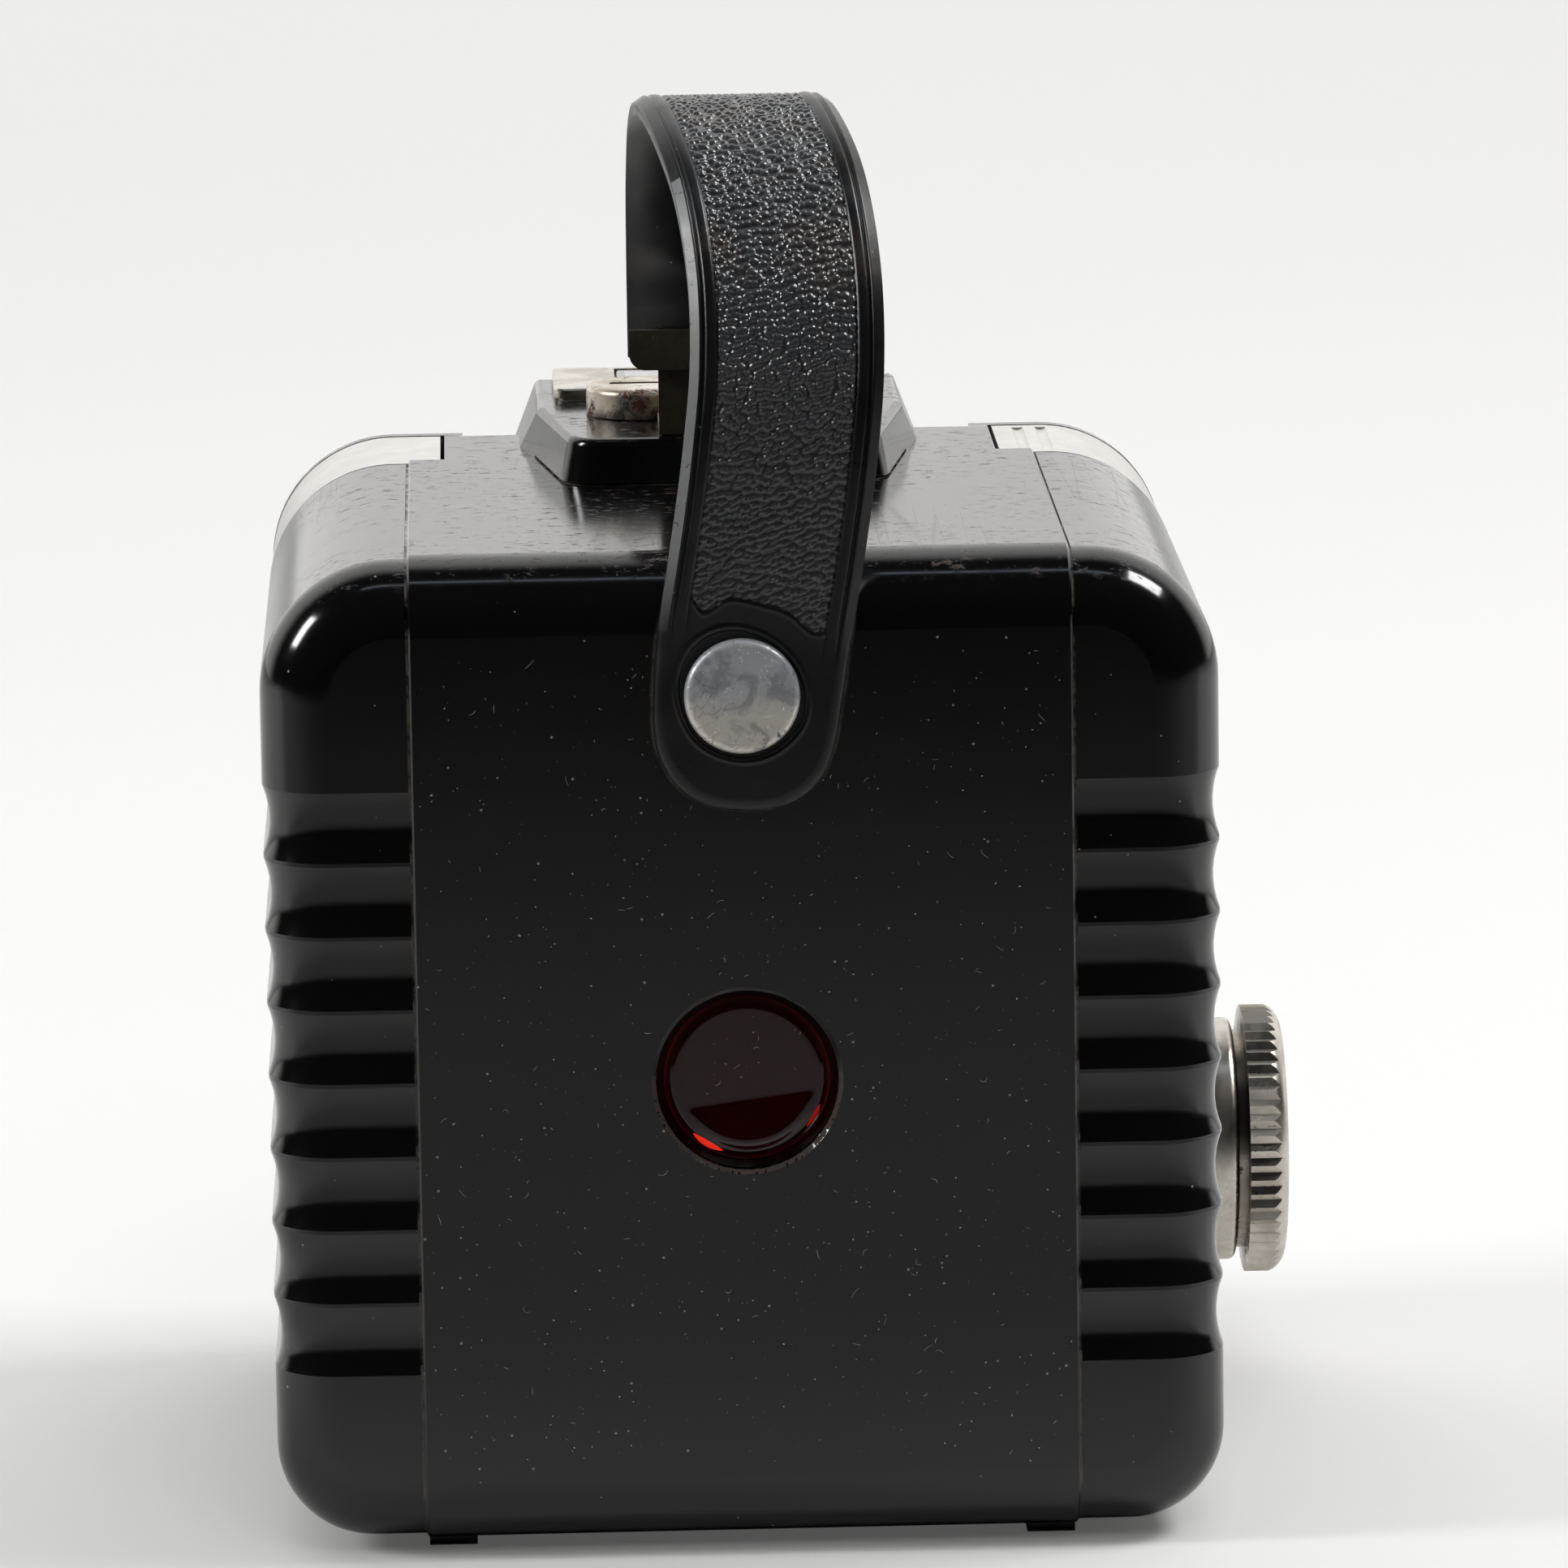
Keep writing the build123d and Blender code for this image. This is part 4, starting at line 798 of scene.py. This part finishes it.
# name, place, width, height, watts, seen in reflections
LAMPS = (
    ("soft_box_right", (-0.76, -0.04, 1.05), 0.40, 0.40, 9, True),
    ("soft_box_left", (1.08, 0.18, 0.70), 0.24, 0.42, 7, True),
    ("window_glow", (0.0, 0.20, 1.6), 1.0, 0.08, 0.5, True),
    ("fill_overhead", (0.0, -0.7, 2.6), 4.5, 4.5, 42, False),
    ("fill_behind_viewer", (-0.3, 1.3, 1.5), 0.9, 0.9, 7, False),
)


def seen_by_camera(nodes):
    """1 for what the camera sees directly, 0 for reflections and bounced light."""
    return nodes.new("ShaderNodeLightPath").outputs["Is Camera Ray"]


def floor():
    """Pale floor, lifted a little for the camera; in reflections it darkens towards the viewer."""
    bpy.ops.mesh.primitive_plane_add(size=6.0, location=(0, 0, 0))
    ground = bpy.context.object
    ground.name = "studio_floor"
    t = Tree("studio_floor")
    tone = t.mix(t.noise(3, 3), (0.66, 0.658, 0.652, 1), (0.67, 0.668, 0.662, 1))
    far = t.along(1)
    near_dim = t.ramp(far, 0.02, 0.16, 1.0, 0.42)
    dim = t.math("MULTIPLY", near_dim, t.ramp(far, 0.20, 0.62, 1.0, 0.0))
    direct = seen_by_camera(t.nodes)
    shade = t.mix(t.math("MAXIMUM", dim, direct), (0.0, 0.0, 0.0, 1), tone)
    lift = t.math("MULTIPLY", t.ramp(far, -2.4, 0.35, FLOOR_LIFT_FAR, FLOOR_LIFT_NEAR), direct)
    t.set(Base_Color=shade, Roughness=0.9, Specular_IOR_Level=0.1,
          Emission_Color=(1.0, 0.995, 0.985, 1), Emission_Strength=lift)
    ground.data.materials.append(t.mat)


def backdrop():
    """Even pale backdrop for the camera; in reflections, pale on the far side and dark behind."""
    world = bpy.data.worlds.new("studio_world")
    bpy.context.scene.world = world
    world.use_nodes = True
    nodes, links = world.node_tree.nodes, world.node_tree.links
    background = nodes["Background"]
    split = nodes.new("ShaderNodeSeparateXYZ")
    links.new(nodes.new("ShaderNodeTexCoord").outputs["Generated"], split.inputs[0])
    shade = nodes.new("ShaderNodeMapRange")
    shade.interpolation_type = "SMOOTHSTEP"
    for key, value in (("From Min", -0.60), ("From Max", -0.26),
                       ("To Min", SKY), ("To Max", DARK_ROOM)):
        shade.inputs[key].default_value = value
    links.new(split.outputs["Y"], shade.inputs["Value"])
    pick = nodes.new("ShaderNodeMix")
    links.new(seen_by_camera(nodes), pick.inputs[0])
    links.new(shade.outputs["Result"], pick.inputs[2])
    pick.inputs[3].default_value = BACKDROP
    links.new(pick.outputs[0], background.inputs["Strength"])
    background.inputs["Color"].default_value = (1.0, 0.992, 0.978, 1)


def soft_light():
    """Two soft boxes and a faint strip that show as highlights, and two plain fills."""
    for name, place, width, height, power, shiny in LAMPS:
        lamp = bpy.data.lights.new(name, "AREA")
        lamp.shape = "RECTANGLE"
        lamp.size, lamp.size_y, lamp.energy = width, height, power
        if name == "window_glow":
            lamp.color = PALE_BLUE
        holder = bpy.data.objects.new(name, lamp)
        bpy.context.scene.collection.objects.link(holder)
        holder.location = place
        target = LAMP_TARGET if shiny else FILL_TARGET
        holder.rotation_euler = (target - Vector(place)).to_track_quat("-Z", "Y").to_euler()
        holder.visible_glossy = shiny


def camera():
    """Long lens behind the camera body, a little above it."""
    data = bpy.data.cameras.new("view")
    data.sensor_width = SENSOR
    data.lens = LENS
    data.clip_end = 20.0
    holder = bpy.data.objects.new("view", data)
    x, y, z = VIEW_PLACE
    holder.location = (x + BODY_X * MM, y + BODY_Y * MM, z)
    holder.rotation_euler = Euler([math.radians(a) for a in VIEW_TURN])
    bpy.context.scene.collection.objects.link(holder)
    bpy.context.scene.camera = holder


camera()
floor()
backdrop()
soft_light()
dress_cad_nodes()
carrying_strap()
window_pane()
window_dirt()
window_glint("window_glint_left", 302, 26, 0.62, "lit_red")
window_glint("window_glint_right", 211, 20, 0.46, "dim_red")
dust("dust_on_back", (BODY_X - 30, BACK_FACE + LIFT, 9.5), (60, 0, 0), (0, 0, 76),
     850, 160, 7, off_window)
dust("dust_on_window", (WINDOW_X - 5, WINDOW_HIGH + LIFT + 0.005, WINDOW_Z - 1.5),
     (10, 0, 0), (0, 0, 6), 12, 6, 5)
dust("dust_on_top", (BODY_X - 28, BODY_Y + 8, DECK + LIFT), (56, 0, 0), (0, 27, 0), 90, 40, 8)

bpy.context.scene.view_settings.view_transform = "Standard"
